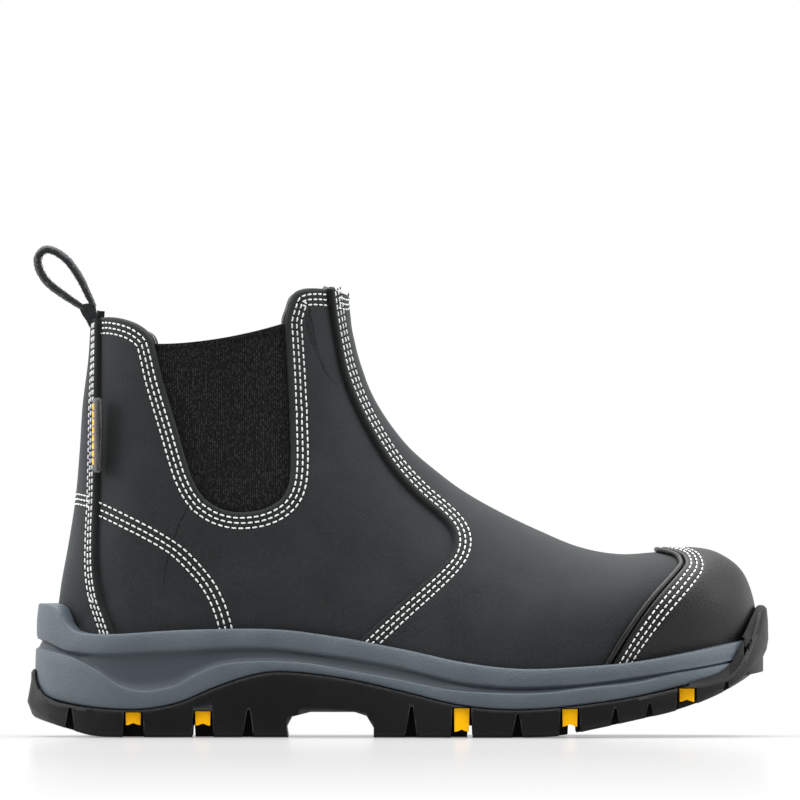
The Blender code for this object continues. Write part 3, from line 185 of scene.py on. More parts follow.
# Tread: V notches as (x, width, apex height), and side channels as (x, height of the insert's foot,
# height of the channel's top), where None is just under the midsole.
NOTCHES = [(-138.2, 3.6, 12.3), (-63.4, 3.6, 11.6), (4.8, 3.8, 13.0), (49.2, 3.6, 9.8), (90.0, 3.2, 12.2),
           (104.4, 3.2, 14.2), (136.8, 3.2, 23.0)]
CHANNELS = [(-111.6, 5.0, None), (-82.5, 4.8, 11.2), (25.8, 2.4, None), (71.0, 4.6, None),
            (120.0, 14.8, None)]
CHANNEL_WIDTH = 8.4
CHANNEL_REACH = 19.0
NOTCH_REACH = 12.0
BED_COVER = 0.6
MIDLINE_CHANNEL = 4.2
ARCH = [(-45.5, -8), (-47.5, 4), (-45.1, 8.6), (-37.5, 10.6), (-19.0, 10.6), (-14.0, 9.0), (-11.0, 4),
        (-11.0, -8)]

# Pull loop: centre line of the strap in the side view, from the front leg over to the back leg.
LOOP_PATH = [(-128.6, 180.3), (-130.8, 185), (-134.3, 192.2), (-139.2, 199.3), (-144.6, 203.4),
             (-149.2, 204.2), (-152.1, 200.9), (-151.4, 195.6), (-147.8, 190.2), (-142.2, 185.8),
             (-136.6, 182.0), (-132.3, 179.5)]
LOOP_WIDTH = 17.0
LOOP_THICK = 2.3
LOOP_SWELL = 3.1
LOOP_TAPER = 14.0
LOOP_STUB = [(-127.2, 175.5), (-127.6, 178.6), (-128.0, 181.2), (-130.2, 181.8), (-133.0, 181.4),
             (-134.6, 179.6), (-133.4, 176.8), (-131.6, 174.3), (-130.3, 171.5), (-129.4, 171.5),
             (-128.6, 174.0)]

TAG_Z = (110.8, 142.0)
TAG_BARS = 8
TAG_BAR_PITCH = 3.3
TAG_BAR_START, TAG_BAR_WIDTH, TAG_BAR_HEIGHT = 0.7, 1.7, 2.4
PIPING_RADIUS = 1.1


# ---------------------------------------------------------------- curves


def catmull(points, u):
    """The smooth curve through the points, at parameters u that count the points from 0."""
    p = np.asarray(points, float)
    p = np.vstack([2 * p[0] - p[1], p, 2 * p[-1] - p[-2]])
    u = np.atleast_1d(np.asarray(u, float))
    i = np.clip(np.floor(u).astype(int), 0, len(points) - 2)
    f = (u - i)[:, None]
    a, b, c, d = p[i], p[i + 1], p[i + 2], p[i + 3]
    return 0.5 * (2 * b + (c - a) * f + (2 * a - 5 * b + 4 * c - d) * f**2 + (3 * b - a - 3 * c + d) * f**3)


def smooth(points, count):
    """The smooth curve through the points as count points, evenly spaced along it."""
    fine = catmull(points, np.linspace(0, len(points) - 1, 24 * len(points)))
    return even(fine, count)


def even(line, count):
    """A dense polyline as count points, evenly spaced along it."""
    line = np.asarray(line, float)
    along = np.concatenate([[0], np.cumsum(np.linalg.norm(np.diff(line, axis=0), axis=1))])
    want = np.linspace(0, along[-1], count)
    return np.stack([np.interp(want, along, line[:, i]) for i in range(line.shape[1])], axis=1)


def height_of(line):
    """A side view line as a function z(x)."""
    fine = catmull(line, np.linspace(0, len(line) - 1, 24 * len(line)))
    return lambda x: np.interp(x, fine[:, 0], fine[:, 1])


floor_z = height_of(FLOOR_LINE)
feather_z = height_of(FEATHER_LINE)
groove_z = height_of(GROOVE_LINE)
split_z = height_of(SPLIT_LINE)
rim_z = height_of(HEEL_RIM + SPLIT_LINE[3:-3] + TOE_RIM)
sole_underside_z = height_of(GROUND_LINE)
feather_inset = height_of(FEATHER_INSET)


def ground_z(x):
    """The underside of the tread, which is flat on the ground under the heel and the ball."""
    return np.maximum(sole_underside_z(x), 0.0)


def bed_z(x):
    """The top of the rubber under the midsole."""
    return np.minimum(split_z(x), floor_z(x) - BED_BELOW_FLOOR)


def outline_rings():
    """The outline as 2 * RING_HALF points from the heel's back, and its outward normals."""
    closed = OUTLINE + OUTLINE[:1]
    wrapped = OUTLINE[-2:] + closed + OUTLINE[1:3]
    halves = []
    for first, last in ((2, 2 + TOE_INDEX), (2 + TOE_INDEX, len(wrapped) - 3)):
        fine = catmull(wrapped, np.linspace(first, last, 4000))
        halves.append(even(fine, RING_HALF + 1)[:-1])
    ring = np.vstack(halves)
    tangent = np.roll(ring, -1, axis=0) - np.roll(ring, 1, axis=0)
    tangent /= np.linalg.norm(tangent, axis=1)[:, None]
    return ring, np.stack([tangent[:, 1], -tangent[:, 0]], axis=1)


RING, RING_NORMAL = outline_rings()
RING_COUNT = len(RING)


def inset_ring(inset):
    """The outline moved in by inset, which is one number or one for each point."""
    return RING - RING_NORMAL * np.broadcast_to(np.asarray(inset, float), (RING_COUNT,))[:, None]


FEATHER_RING = inset_ring(feather_inset(RING[:, 0]))


def half_ring(ring, side):
    """One side of a ring, from the heel to the toe."""
    if side == LATERAL:
        return ring[: RING_HALF + 1]
    return np.vstack([ring[RING_HALF:], ring[:1]])[::-1]


def feather_y(x, side):
    """The y of the upper's foot at x on one side."""
    half = half_ring(FEATHER_RING, side)
    return np.interp(x, half[:, 0], half[:, 1])


# ---------------------------------------------------------------- master surface

K_STEP = 0.025
T_COUNT = 161
ARC_SAMPLES = 240


def station_table():
    """One row of numbers for each station, with feet stood on the floor and their half widths."""
    rows = []
    for (fx, fz), (bx, bz), wide_l, wide_m, share, power, mid in STATIONS:
        closed = bx <= STATIONS[HEEL_STATION][1][0] or (bz or 0) > 40
        foot = floor_z(bx) + UPPER_FOOT if bz is None else bz
        ends = [0.0, 0.0]
        if not closed and wide_l > 0:
            ends = [mid - feather_y(bx, LATERAL), feather_y(bx, MEDIAL) - mid]
        rows.append([fx, fz, bx, foot, wide_l, wide_m, share, power, mid, *ends])
    return rows


def half_section(chord, wide, end, share, power):
    """One side of a section: distances down the chord and out from it, as dense arrays."""
    end = min(max(end, 0.0), 0.999 * wide) if wide > 0 else 0.0
    rest = 1 - share
    reach = rest / max(1 - (end / wide) ** power, 1e-4) ** (1 / power) if wide > 0 else rest
    turn = np.linspace(0, math.pi / 2, ARC_SAMPLES)
    upper = share * (1 - np.cos(turn))
    lower = share + reach * np.sin(np.linspace(0, math.asin(min(1.0, rest / reach)), ARC_SAMPLES))[1:]
    lower[-1] = 1.0
    out_upper = wide * np.clip(1 - (1 - upper / share) ** power, 0, 1) ** (1 / power)
    out_lower = wide * np.clip(1 - ((lower - share) / reach) ** power, 0, 1) ** (1 / power)
    return np.concatenate([upper, lower]) * chord, np.concatenate([out_upper, out_lower])


class Surface:
    """The master surface of one side as a dense grid of points and outward normals over (k, t)."""

    def __init__(self, side):
        self.side = side
        self.k = np.arange(0, TOP_STATION + K_STEP / 2, K_STEP)
        self.t = np.linspace(0, 1, T_COUNT)
        rows = catmull(station_table(), self.k)
        self.front, self.back = rows[:, 0:2], rows[:, 2:4]
        self.share_at_t = np.zeros((len(self.k), T_COUNT))
        self.points = np.zeros((len(self.k), T_COUNT, 3))
        for i, row in enumerate(rows):
            self._section(i, row)
        self.normals = self._normals()

    def _section(self, i, row):
        wide = max(row[4] if self.side == LATERAL else row[5], 0.0)
        end = row[9] if self.side == LATERAL else row[10]
        if self.k[i] >= HEEL_STATION:
            end = 0.0
        chord = float(np.linalg.norm(self.back[i] - self.front[i]))
        down, out = half_section(chord, wide, end, row[6], row[7])
        arc = np.concatenate([[0], np.cumsum(np.hypot(np.diff(down), np.diff(out)))])
        want = self.t * arc[-1]
        down_t, out_t = np.interp(want, arc, down), np.interp(want, arc, out)
        share = down_t / chord
        self.share_at_t[i] = share
        flat = self.front[i] + share[:, None] * (self.back[i] - self.front[i])
        self.points[i, :, 0], self.points[i, :, 2] = flat[:, 0], flat[:, 1]
        self.points[i, :, 1] = row[8] + self.side * out_t

    def _normals(self):
        along_k = np.gradient(self.points, axis=0)
        along_t = np.gradient(self.points, axis=1)
        normal = np.cross(along_k, along_t) * -self.side
        normal[:, 0, 1] = 0
        normal[self.k >= HEEL_STATION, -1, 1] = 0
        normal[0] = (1, 0, 0)
        return normal / np.maximum(np.linalg.norm(normal, axis=2), 1e-9)[:, :, None]

    def _sample(self, grid, k, t):
        """Values of a dense grid between its points."""
        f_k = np.clip(np.asarray(k, float) / K_STEP, 0, len(self.k) - 1.001)
        ft = np.clip(np.asarray(t, float) * (T_COUNT - 1), 0, T_COUNT - 1.001)
        i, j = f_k.astype(int), ft.astype(int)
        a, b = (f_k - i)[..., None], (ft - j)[..., None]
        low = grid[i, j] * (1 - b) + grid[i, j + 1] * b
        high = grid[i + 1, j] * (1 - b) + grid[i + 1, j + 1] * b
        return low * (1 - a) + high * a

    def at(self, kt, offset=0.0):
        """Points at an array of (k, t), moved out along the normal by offset."""
        k, t = kt[..., 0], kt[..., 1]
        normal = self._sample(self.normals, k, t)
        normal /= np.linalg.norm(normal, axis=-1)[..., None]
        return self._sample(self.points, k, t) + normal * offset

    def find(self, line, offset=0.0):
        """(k, t) of side view points (x, z), seen on the surface moved out by offset."""
        line = np.asarray(line, float)
        target = line.copy()
        for _ in range(4):
            kt = np.array([self._find_one(p) for p in target])
            seen = self.at(kt, offset)[:, [0, 2]]
            target = target + (line - seen) * 0.8
        return kt

    def _find_one(self, point):
        chord = self.back - self.front
        rel = point - self.front
        cross = chord[:, 0] * rel[:, 1] - chord[:, 1] * rel[:, 0]
        flips = np.where(np.sign(cross[:-1]) != np.sign(cross[1:]))[0]
        i = int(flips[0]) if len(flips) else (0 if abs(cross[0]) < abs(cross[-1]) else len(cross) - 2)
        gap = cross[i] - cross[i + 1]
        f = min(max(cross[i] / gap, 0.0), 1.0) if gap else 0.0
        front = self.front[i] * (1 - f) + self.front[i + 1] * f
        back = self.back[i] * (1 - f) + self.back[i + 1] * f
        share = np.dot(point - front, back - front) / np.dot(back - front, back - front)
        shares = self.share_at_t[i] * (1 - f) + self.share_at_t[i + 1] * f
        return (i + f) * K_STEP, float(np.interp(share, shares, self.t))


SURFACES = {side: Surface(side) for side in SIDES.values()}


def upper_inset(top):
    """How far inside the outline the master surface stands where it is widest below the heights top."""
    cloud = np.vstack([surface.points[::3, ::2].reshape(-1, 3) for surface in SURFACES.values()])
    inset = []
    for place, normal, height in zip(RING, RING_NORMAL, top):
        across = cloud[:, :2] - place
        near = np.abs(across @ (-normal[1], normal[0])) < 3
        near &= cloud[:, 2] < height + 1
        depth = -(across[near] @ normal)
        inset.append(depth[depth < 30].min())
    return np.array(inset)


# ---------------------------------------------------------------- patches


def resample(surface, kt, count):
    """A line of (k, t) as count points, evenly spaced on the surface."""
    points = surface.at(np.asarray(kt, float))
    along = np.concatenate([[0], np.cumsum(np.linalg.norm(np.diff(points, axis=0), axis=1))])
    want = np.linspace(0, along[-1], count)
    return np.stack([np.interp(want, along, kt[:, i]) for i in range(2)], axis=1)


def densify(kt, per_span=12):
    """A short list of (k, t) corners as a dense line of straight spans."""
    kt = np.asarray(kt, float)
    steps = np.linspace(0, 1, per_span, endpoint=False)[:, None]
    spans = [a + (b - a) * steps for a, b in zip(kt[:-1], kt[1:])]
    return np.vstack([*spans, kt[-1:]])


def seam_kt(surface, line, offset=0.0):
    """A side view line as a dense line of (k, t)."""
    return surface.find(smooth(line, 6 * len(line)), offset)


def moved(surface, kt, distance):
    """A line of (k, t) that runs down the boot, moved forward along the surface by distance."""
    step = 0.02
    base = np.clip(kt, (step, step), (TOP_STATION - step, 1 - step))
    across_k = surface.at(base + (step, 0)) - surface.at(base - (step, 0))
    across_t = surface.at(base + (0, step)) - surface.at(base - (0, step))
    along = np.gradient(surface.at(kt), axis=0)
    forward = np.cross(np.cross(across_k, across_t), along)
    forward *= distance / np.maximum(np.linalg.norm(forward, axis=1), 1e-9)[:, None]
    shift = [np.linalg.lstsq(np.stack([dk, dt], axis=1) / (2 * step), want, rcond=None)[0]
             for dk, dt, want in zip(across_k, across_t, forward)]
    return np.clip(kt + np.array(shift), (0, 0), (TOP_STATION, 1))


def arc_length(surface, k):
    """Length of the half section at station k."""
    line = surface.at(np.stack([np.full(T_COUNT, k), surface.t], axis=1))
    return float(np.linalg.norm(np.diff(line, axis=0), axis=1).sum())


def blend_rows(first, last, columns):
    """A grid of (k, t) between two lines with as many points each."""
    share = np.linspace(0, 1, columns)[None, :, None]
    return first[:, None, :] * (1 - share) + last[:, None, :] * share


def grid_faces(rows, columns, start, flip):
    """Quads of a grid whose points are numbered row by row from start."""
    faces = []
    for i in range(rows - 1):
        for j in range(columns - 1):
            a = start + i * columns + j
            quad = (a, a + 1, a + columns + 1, a + columns)
            faces.append(quad[::-1] if flip else quad)
    return faces


def metres(points):
    """Points in millimetres as metres, with the boot's box centred on the origin."""
    return (np.asarray(points, float) + CENTRE_SHIFT) * MM


def above_floor(points):
    """Points kept clear of the floor of the midsole's cup."""
    points[..., 2] = np.maximum(points[..., 2], floor_z(points[..., 0]) + FOOT_CLEARANCE)
    return points


def open_edges(faces):
    """Directed edges that only one face uses."""
    edges = [(face[i], face[(i + 1) % len(face)]) for face in faces for i in range(len(face))]
    used = set(edges)
    return [edge for edge in edges if edge[::-1] not in used]


INNER_INSET = upper_inset(feather_z(RING[:, 0]))


# ---------------------------------------------------------------- lines on the surface


def offset_line(surface, kt, distance, step=1.2):
    """A line of (k, t) moved sideways along the surface, in short steps so that it follows the curve."""
    count = max(1, math.ceil(abs(distance) / step))
    for _ in range(count):
        kt = moved(surface, kt, distance / count)
        soft = 0.2 * np.clip(np.abs(kt[1:-1, :1] - HEEL_STATION) / 0.8 - 0.5, 0, 1)
        kt[1:-1] = kt[1:-1] * (1 - 2 * soft) + (kt[:-2] + kt[2:]) * soft
    return kt


def band_lines(surface, kt, distances, way):
    """Lines beside a seam, one for each distance from it. way is the sign that moves into the panel."""
    lines, at = [kt], 0.0
    for distance in distances[1:]:
        lines.append(offset_line(surface, lines[-1], way * (distance - at)))
        at = distance
    return np.stack(lines, axis=1)


def band_distances(rows):
    """Where a panel's columns run beside its stitched edge: close together at each row of stitches."""
    out = [0.0, 0.15, 0.4, 0.8, 1.3]
    for row in rows:
        out += [row - 0.5, row - 0.22, row, row + 0.22, row + 0.5]
    out += [rows[-1] + 1.1, rows[-1] + 2.2]
    return sorted(set(round(d, 3) for d in out if d >= 0))


def seam_profile(d, rows, edge_round, edge_drop, groove):
    """How far a panel's face sinks at distance d from its edge: the rounded edge and the stitched grooves."""
    d = np.asarray(d, float)
    u = np.clip(1 - d / edge_round, 0, 1)
    sink = edge_drop * (1 - np.sqrt(np.clip(1 - u * u, 0, 1)))
    for row in rows:
        sink = sink + groove * np.exp(-((d - row) / 0.42) ** 2)
    return sink


def panel_grid(surface, edge, far, rows, way, columns, profile):
    """A panel's (k, t) grid from its stitched edge to its far line, with the sink of its face."""
    distances = band_distances(rows)
    band = band_lines(surface, edge, distances, way)
    share = np.linspace(0, 1, columns + 1)[1:]
    share = share ** 1.15
    rest = band[:, -1:, :] * (1 - share)[None, :, None] + far[:, None, :] * share[None, :, None]
    grid = np.concatenate([band, rest], axis=1)
    d = np.concatenate([distances, distances[-1] + 1 + np.arange(columns)])
    sink = np.broadcast_to(seam_profile(d, rows, *profile), grid.shape[:2])
    return grid, sink, np.broadcast_to(d, grid.shape[:2])


# ---------------------------------------------------------------- meshes


def finish_mesh(obj, materials, body, smooth_angle=50):
    mesh = obj.data
    for material in materials:
        mesh.materials.append(material)
    mesh.shade_smooth()
    mesh.set_sharp_from_angle(angle=math.radians(smooth_angle))
    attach(obj, body)
    return obj


def new_object(name, points, faces, materials, body="boot", face_slots=None, smooth_angle=50, join=True):
    """A piece from points in millimetres, turned outwards, riding on a body."""
    mesh = bpy.data.meshes.new(name)
    mesh.from_pydata(metres(points).tolist(), [], faces)
    if face_slots is not None:
        mesh.polygons.foreach_set("material_index", np.asarray(face_slots, np.int32))
    obj = bpy.data.objects.new(name, mesh)
    bpy.context.scene.collection.objects.link(obj)
    if join:
        body_mesh = bmesh.new()
        body_mesh.from_mesh(mesh)
        bmesh.ops.remove_doubles(body_mesh, verts=body_mesh.verts, dist=0.004 * MM)
        bmesh.ops.recalc_face_normals(body_mesh, faces=body_mesh.faces)
        if body_mesh.calc_volume(signed=True) < 0:
            bmesh.ops.reverse_faces(body_mesh, faces=body_mesh.faces)
        body_mesh.to_mesh(mesh)
        body_mesh.free()
    return finish_mesh(obj, materials, body, smooth_angle)


def shell(name, patches, inner, outer, materials, edge_width=0.0, body="boot"):
    """A layer of the upper. A patch is (surface, grid, sink, distance from the edge). Faces nearer the
    edge than edge_width, and the rim, take the second material."""
    points, faces, near = [], [], []
    for surface, grid, sink, distance in patches:
        rows, columns = grid.shape[:2]
        faces += grid_faces(rows, columns, len(points), surface.side == MEDIAL)
        both = [above_floor(surface.at(grid, offset)) for offset in ((outer - sink)[..., None], inner)]
        points += list(np.concatenate(both, axis=2).reshape(-1, 6))
        near += list(np.asarray(distance).reshape(-1))
    points, faces, near = join_alike(points, faces, near)
    count = len(points)
    border = open_edges(faces)
    slots = [int(max(near[i] for i in face) <= edge_width) for face in faces] + [0] * len(faces)
    solid = list(faces) + [tuple(i + count for i in reversed(face)) for face in faces]
    solid += [(b, a, a + count, b + count) for a, b in border]
    slots += [min(1, len(materials) - 1)] * len(border)
    stacked = [p[:3] for p in points] + [p[3:] for p in points]
    return new_object(name, stacked, solid, materials, body, slots)


def join_alike(points, faces, near):
    """Points that lie together made one, and the faces numbered to suit."""
    tree = KDTree(len(points))
    for i, p in enumerate(points):
        tree.insert(p[:3], i)
    tree.balance()
    first = [min(i for _, i, _ in tree.find_range(p[:3], JOIN_DISTANCE)) for p in points]
    kept = sorted(set(first))
    place = {old: new for new, old in enumerate(kept)}
    renumbered = [tuple(dict.fromkeys(place[first[i]] for i in face)) for face in faces]
    return [points[i] for i in kept], [face for face in renumbered if len(face) > 2], [near[i] for i in kept]


def tube(name, points, radius, materials, body="boot", sides=14, flat=1.0):
    """A closed round bar along points."""
    points = np.asarray(points, float)
    tangent = np.gradient(points, axis=0)
    tangent /= np.linalg.norm(tangent, axis=1)[:, None]
    up = np.zeros_like(tangent)
    up[0] = np.cross(tangent[0], (0.3, 0.2, 1))
    for i in range(1, len(up)):
        up[i] = up[i - 1] - tangent[i] * np.dot(up[i - 1], tangent[i])
    up[0] -= tangent[0] * np.dot(up[0], tangent[0])
    up /= np.linalg.norm(up, axis=1)[:, None]
    side = np.cross(tangent, up)
    turn = np.linspace(0, 2 * math.pi, sides, endpoint=False)
    ring = up[:, None] * np.cos(turn)[None, :, None] + side[:, None] * np.sin(turn)[None, :, None] * flat
    taper = np.ones(len(points))
    taper[[0, -1]] = 0.45
    taper[[1, -2]] = 0.9
    grid = points[:, None] + ring * (radius * taper)[:, None, None]
    return loft(name, grid, materials, body)


def loft(name, grid, materials, body="boot", smooth_angle=50):
    """A closed solid through rings of points, capped with a fan at each end."""
    levels, count = grid.shape[:2]
    faces = []
    for i in range(levels - 1):
        for j in range(count):
            a, b = i * count + j, i * count + (j + 1) % count
            faces.append((a, b, b + count, a + count))
    points = list(grid.reshape(-1, 3))
    for level in (0, levels - 1):
        points.append(grid[level].mean(axis=0))
        centre = len(points) - 1
        faces += [(centre, level * count + (j + 1) % count, level * count + j) for j in range(count)]
    return new_object(name, points, faces, materials, body, smooth_angle=smooth_angle)


# ---------------------------------------------------------------- stitching

STITCH_PITCH = 2.9
STITCH_LENGTH = 2.15
STITCH_RADIUS = 0.36
# Size of the dark marks at each stitch's ends, which paint the shade where the needle went through the leather.
HOLE_SHADE_LENGTH = 0.85
HOLE_SHADE_RADIUS = 0.34


class Stitches:
    """Rows of thread on one part of the boot: the thread as small bars, and between them dark marks that paint
    the shade where the needle went through the leather.
    """

    def __init__(self):
        self.thread, self.holes = [], []

    def row(self, points, normals, pitch=STITCH_PITCH, length=STITCH_LENGTH):
        points = np.asarray(points, float)
        along = np.concatenate([[0], np.cumsum(np.linalg.norm(np.diff(points, axis=0), axis=1))])
        count = max(2, int(round(along[-1] / pitch)))
        pitch = along[-1] / count
        for start, half, radius, kind in (
            (0.5, length / 2, STITCH_RADIUS, self.thread),
            (0.0, HOLE_SHADE_LENGTH / 2, HOLE_SHADE_RADIUS, self.holes),
        ):
            s = (np.arange(count + (start == 0)) + start) * pitch
            at = lambda q: np.stack([np.interp(q, along, points[:, i]) for i in range(3)], axis=1)
            n = np.stack([np.interp(s, along, normals[:, i]) for i in range(3)], axis=1)
            n /= np.linalg.norm(n, axis=1)[:, None]
            a = at(np.minimum(s + 0.3, along[-1])) - at(np.maximum(s - 0.3, 0))
            a /= np.linalg.norm(a, axis=1)[:, None]
            kind += [(c, d, m, half, radius) for c, d, m in zip(at(s), a, n)]

    def on(self, surface, kt, offset, **kwargs):
        """A row that follows a line of (k, t) on a surface."""
        kt = np.asarray(kt, float)
        points = surface.at(kt, offset)
        self.row(points, points - surface.at(kt, offset - 1), **kwargs)

    def build(self, name, body="boot"):
        for kind, items, lift, material in (
            ("thread", self.thread, 0.12, LOOKS["thread"]),
            ("holes", self.holes, -0.02, LOOKS["hole"]),
        ):
            c, a, n = (np.array([item[i] for item in items]) for i in range(3))
            half, radius = (np.array([item[i] for item in items]) for i in (3, 4))
            b = np.cross(n, a)
            b /= np.linalg.norm(b, axis=1)[:, None]
            u = np.array([-1, -0.86, -0.5, 0, 0.5, 0.86, 1])
            fat = np.array([0.25, 0.75, 0.97, 1, 0.97, 0.75, 0.25])
            turn = np.linspace(0, 2 * math.pi, 8, endpoint=False)
            arch = lift + (0.16 * (1 - u**2) if kind == "thread" else 0 * u)
            middle = c[:, None] + a[:, None] * (u[None, :, None] * half[:, None, None])
            middle = middle + n[:, None] * arch[None, :, None]
            r = radius[:, None, None, None] * fat[None, :, None, None]
            rings = middle[:, :, None] + r * (
                b[:, None, None] * np.cos(turn)[None, None, :, None]
                + n[:, None, None] * (np.sin(turn) * 0.8)[None, None, :, None])
            size = len(u) * len(turn)
            faces = []
            for k in range(len(items)):
                base = k * size
                for i in range(len(u) - 1):
                    for j in range(8):
                        p, q = base + i * 8 + j, base + i * 8 + (j + 1) % 8
                        faces.append((p, q, q + 8, p + 8))
                faces.append(tuple(base + j for j in range(7, -1, -1)))
                faces.append(tuple(base + size - 8 + j for j in range(8)))
            piece = new_object(f"{name}_{kind}", rings.reshape(-1, 3), faces, [material], body, join=False,
                               smooth_angle=80)


# ---------------------------------------------------------------- materials


class Look:
    """A procedural material: its shader, and short calls that add nodes to it."""

    def __init__(self, name, colour, roughness, **sockets):
        self.material = bpy.data.materials.new(name)
        self.material.use_nodes = True
        self.tree = self.material.node_tree
        self.shader = self.tree.nodes["Principled BSDF"]
        self.shader.inputs["Base Color"].default_value = (*colour, 1)
        self.shader.inputs["Roughness"].default_value = roughness
        for key, value in sockets.items():
            self.shader.inputs[key.replace("_", " ")].default_value = value
        self.place = self.node("ShaderNodeTexCoord").outputs["Object"]
        self.normal = None

    def node(self, kind, inputs=None, **settings):
        made = self.tree.nodes.new(kind)
        for key, value in settings.items():
            setattr(made, key, value)
        for key, value in (inputs or {}).items():
            socket = made.inputs[key]
            if isinstance(value, bpy.types.NodeSocket):
                self.tree.links.new(value, socket)
            else:
                socket.default_value = value
        return made

    def stretched(self, scale):
        return self.node("ShaderNodeMapping", {"Vector": self.place, "Scale": scale}).outputs["Vector"]

    def noise(self, per_mm, detail=3.0, rough=0.55, place=None, distortion=0.0):
        values = {"Vector": place or self.place, "Scale": per_mm / MM, "Detail": detail, "Roughness": rough,
                  "Distortion": distortion}
        return self.node("ShaderNodeTexNoise", values).outputs["Fac"]

    def cells(self, per_mm, feature="F1", place=None):
        values = {"Vector": place or self.place, "Scale": per_mm / MM}
        return self.node("ShaderNodeTexVoronoi", values, feature=feature).outputs["Distance"]

    def ramp(self, value, low, high, start=0.0, end=1.0):
        values = {"Value": value, "From Min": low, "From Max": high, "To Min": start, "To Max": end}
        return self.node("ShaderNodeMapRange", values).outputs["Result"]

    def mix(self, value, first, second):
        made = self.node("ShaderNodeMix", data_type="RGBA")
        self.tree.links.new(value, made.inputs["Factor"])
        for socket, colour in ((made.inputs[6], first), (made.inputs[7], second)):
            if isinstance(colour, bpy.types.NodeSocket):
                self.tree.links.new(colour, socket)
            else:
                socket.default_value = (*colour, 1)
        return made.outputs[2]

    def colour(self, socket):
        self.tree.links.new(socket, self.shader.inputs["Base Color"])

    def rough(self, socket):
        self.tree.links.new(socket, self.shader.inputs["Roughness"])

    def bump(self, height, depth_mm, strength=1.0):
        values = {"Height": height, "Distance": depth_mm * MM, "Strength": strength}
        if self.normal is not None:
            values["Normal"] = self.normal
        self.normal = self.node("ShaderNodeBump", values).outputs["Normal"]
        self.tree.links.new(self.normal, self.shader.inputs["Normal"])
        return self


def nubuck(name, dark, light, grain=0.05):
    """Matte oiled leather: cloudy colour, fine nap and a soft sheen at glancing angles."""
    look = Look(name, dark, 0.72, Sheen_Weight=0.08, Sheen_Roughness=0.45, Specular_IOR_Level=0.16)
    look.shader.inputs["Sheen Tint"].default_value = (0.80, 0.90, 0.92, 1)
    cloud = look.noise(0.035, 4, 0.6, distortion=0.6)
    nap = look.noise(1.6, 3, 0.65)
    base = look.mix(look.ramp(cloud, 0.34, 0.68), dark, light)
    look.colour(look.mix(look.ramp(nap, 0.40, 0.74, 0.0, 0.5), base, tuple(c * 2.3 for c in light)))
    look.rough(look.ramp(nap, 0.3, 0.7, 0.64, 0.82))
    look.bump(look.noise(0.7, 4, 0.7), grain * 3.4, 0.6)
    look.bump(look.noise(2.2, 2, 0.6), grain * 1.8, 0.8)
    return look.material


def grained(name, colour, cell, depth, roughness, light=None, shine=0.3):
    """Moulded or coated surface with a pebble grain of the given cells per millimetre."""
    look = Look(name, colour, roughness, Specular_IOR_Level=shine)
    pebble = look.cells(cell)
    worn = look.noise(0.05, 4, 0.6)
    light = light or tuple(c * 1.5 for c in colour)
    look.colour(look.mix(look.ramp(worn, 0.35, 0.75), colour, light))
    look.rough(look.ramp(worn, 0.3, 0.7, roughness - 0.05, roughness + 0.07))
    look.bump(look.noise(0.4, 3, 0.6), depth * 1.2, 0.35)
    look.bump(look.ramp(pebble, 0.0, 0.62, 1.0, 0.0), depth, 0.85)
    return look


def woven(name, colour, light, pitch, roughness=0.9):
    """Knitted or woven textile: threads that cross at the given pitch in millimetres."""
    look = Look(name, colour, roughness, Sheen_Weight=0.25, Sheen_Roughness=0.6, Specular_IOR_Level=0.2)
    place = look.stretched((1.0, 1.0, 0.55))
    knit = look.cells(1.0 / pitch, place=place)
    fuzz = look.noise(2.4, 2)
    shade = look.mix(look.ramp(knit, 0.05, 0.65), light, colour)
    look.colour(look.mix(look.ramp(fuzz, 0.4, 0.75, 0, 0.35), shade, light))
    look.bump(look.ramp(knit, 0.0, 0.7, 1.0, 0.0), pitch * 0.3, 0.8)
    look.bump(fuzz, 0.06, 0.5)
    return look.material


def elastic(name):
    """Elastic webbing: fine upright ribs, with a painted highlight where they stand and painted shade between
    them.
    """
    look = Look(name, (0.008, 0.008, 0.009), 0.85, Sheen_Weight=0.1, Specular_IOR_Level=0.1)
    ribs = look.node("ShaderNodeTexWave", {"Vector": look.place, "Scale": math.pi / 10 / (RIB_PITCH * MM)},
                     bands_direction="X").outputs["Fac"]
    knit = look.cells(1.3, place=look.stretched((1.0, 1.0, 0.6)))
    # Light and dark bands in step with the ribs: a painted highlight on each rib and painted shade between them.
    rib_highlight_and_shade = look.mix(look.ramp(ribs, 0.25, 0.85), (0.0016, 0.0016, 0.002), (0.034, 0.034, 0.036))
    look.colour(look.mix(look.ramp(knit, 0.15, 0.6), rib_highlight_and_shade, (0.002, 0.002, 0.0024)))
    look.bump(knit, 0.12, 0.8)
    return look.material


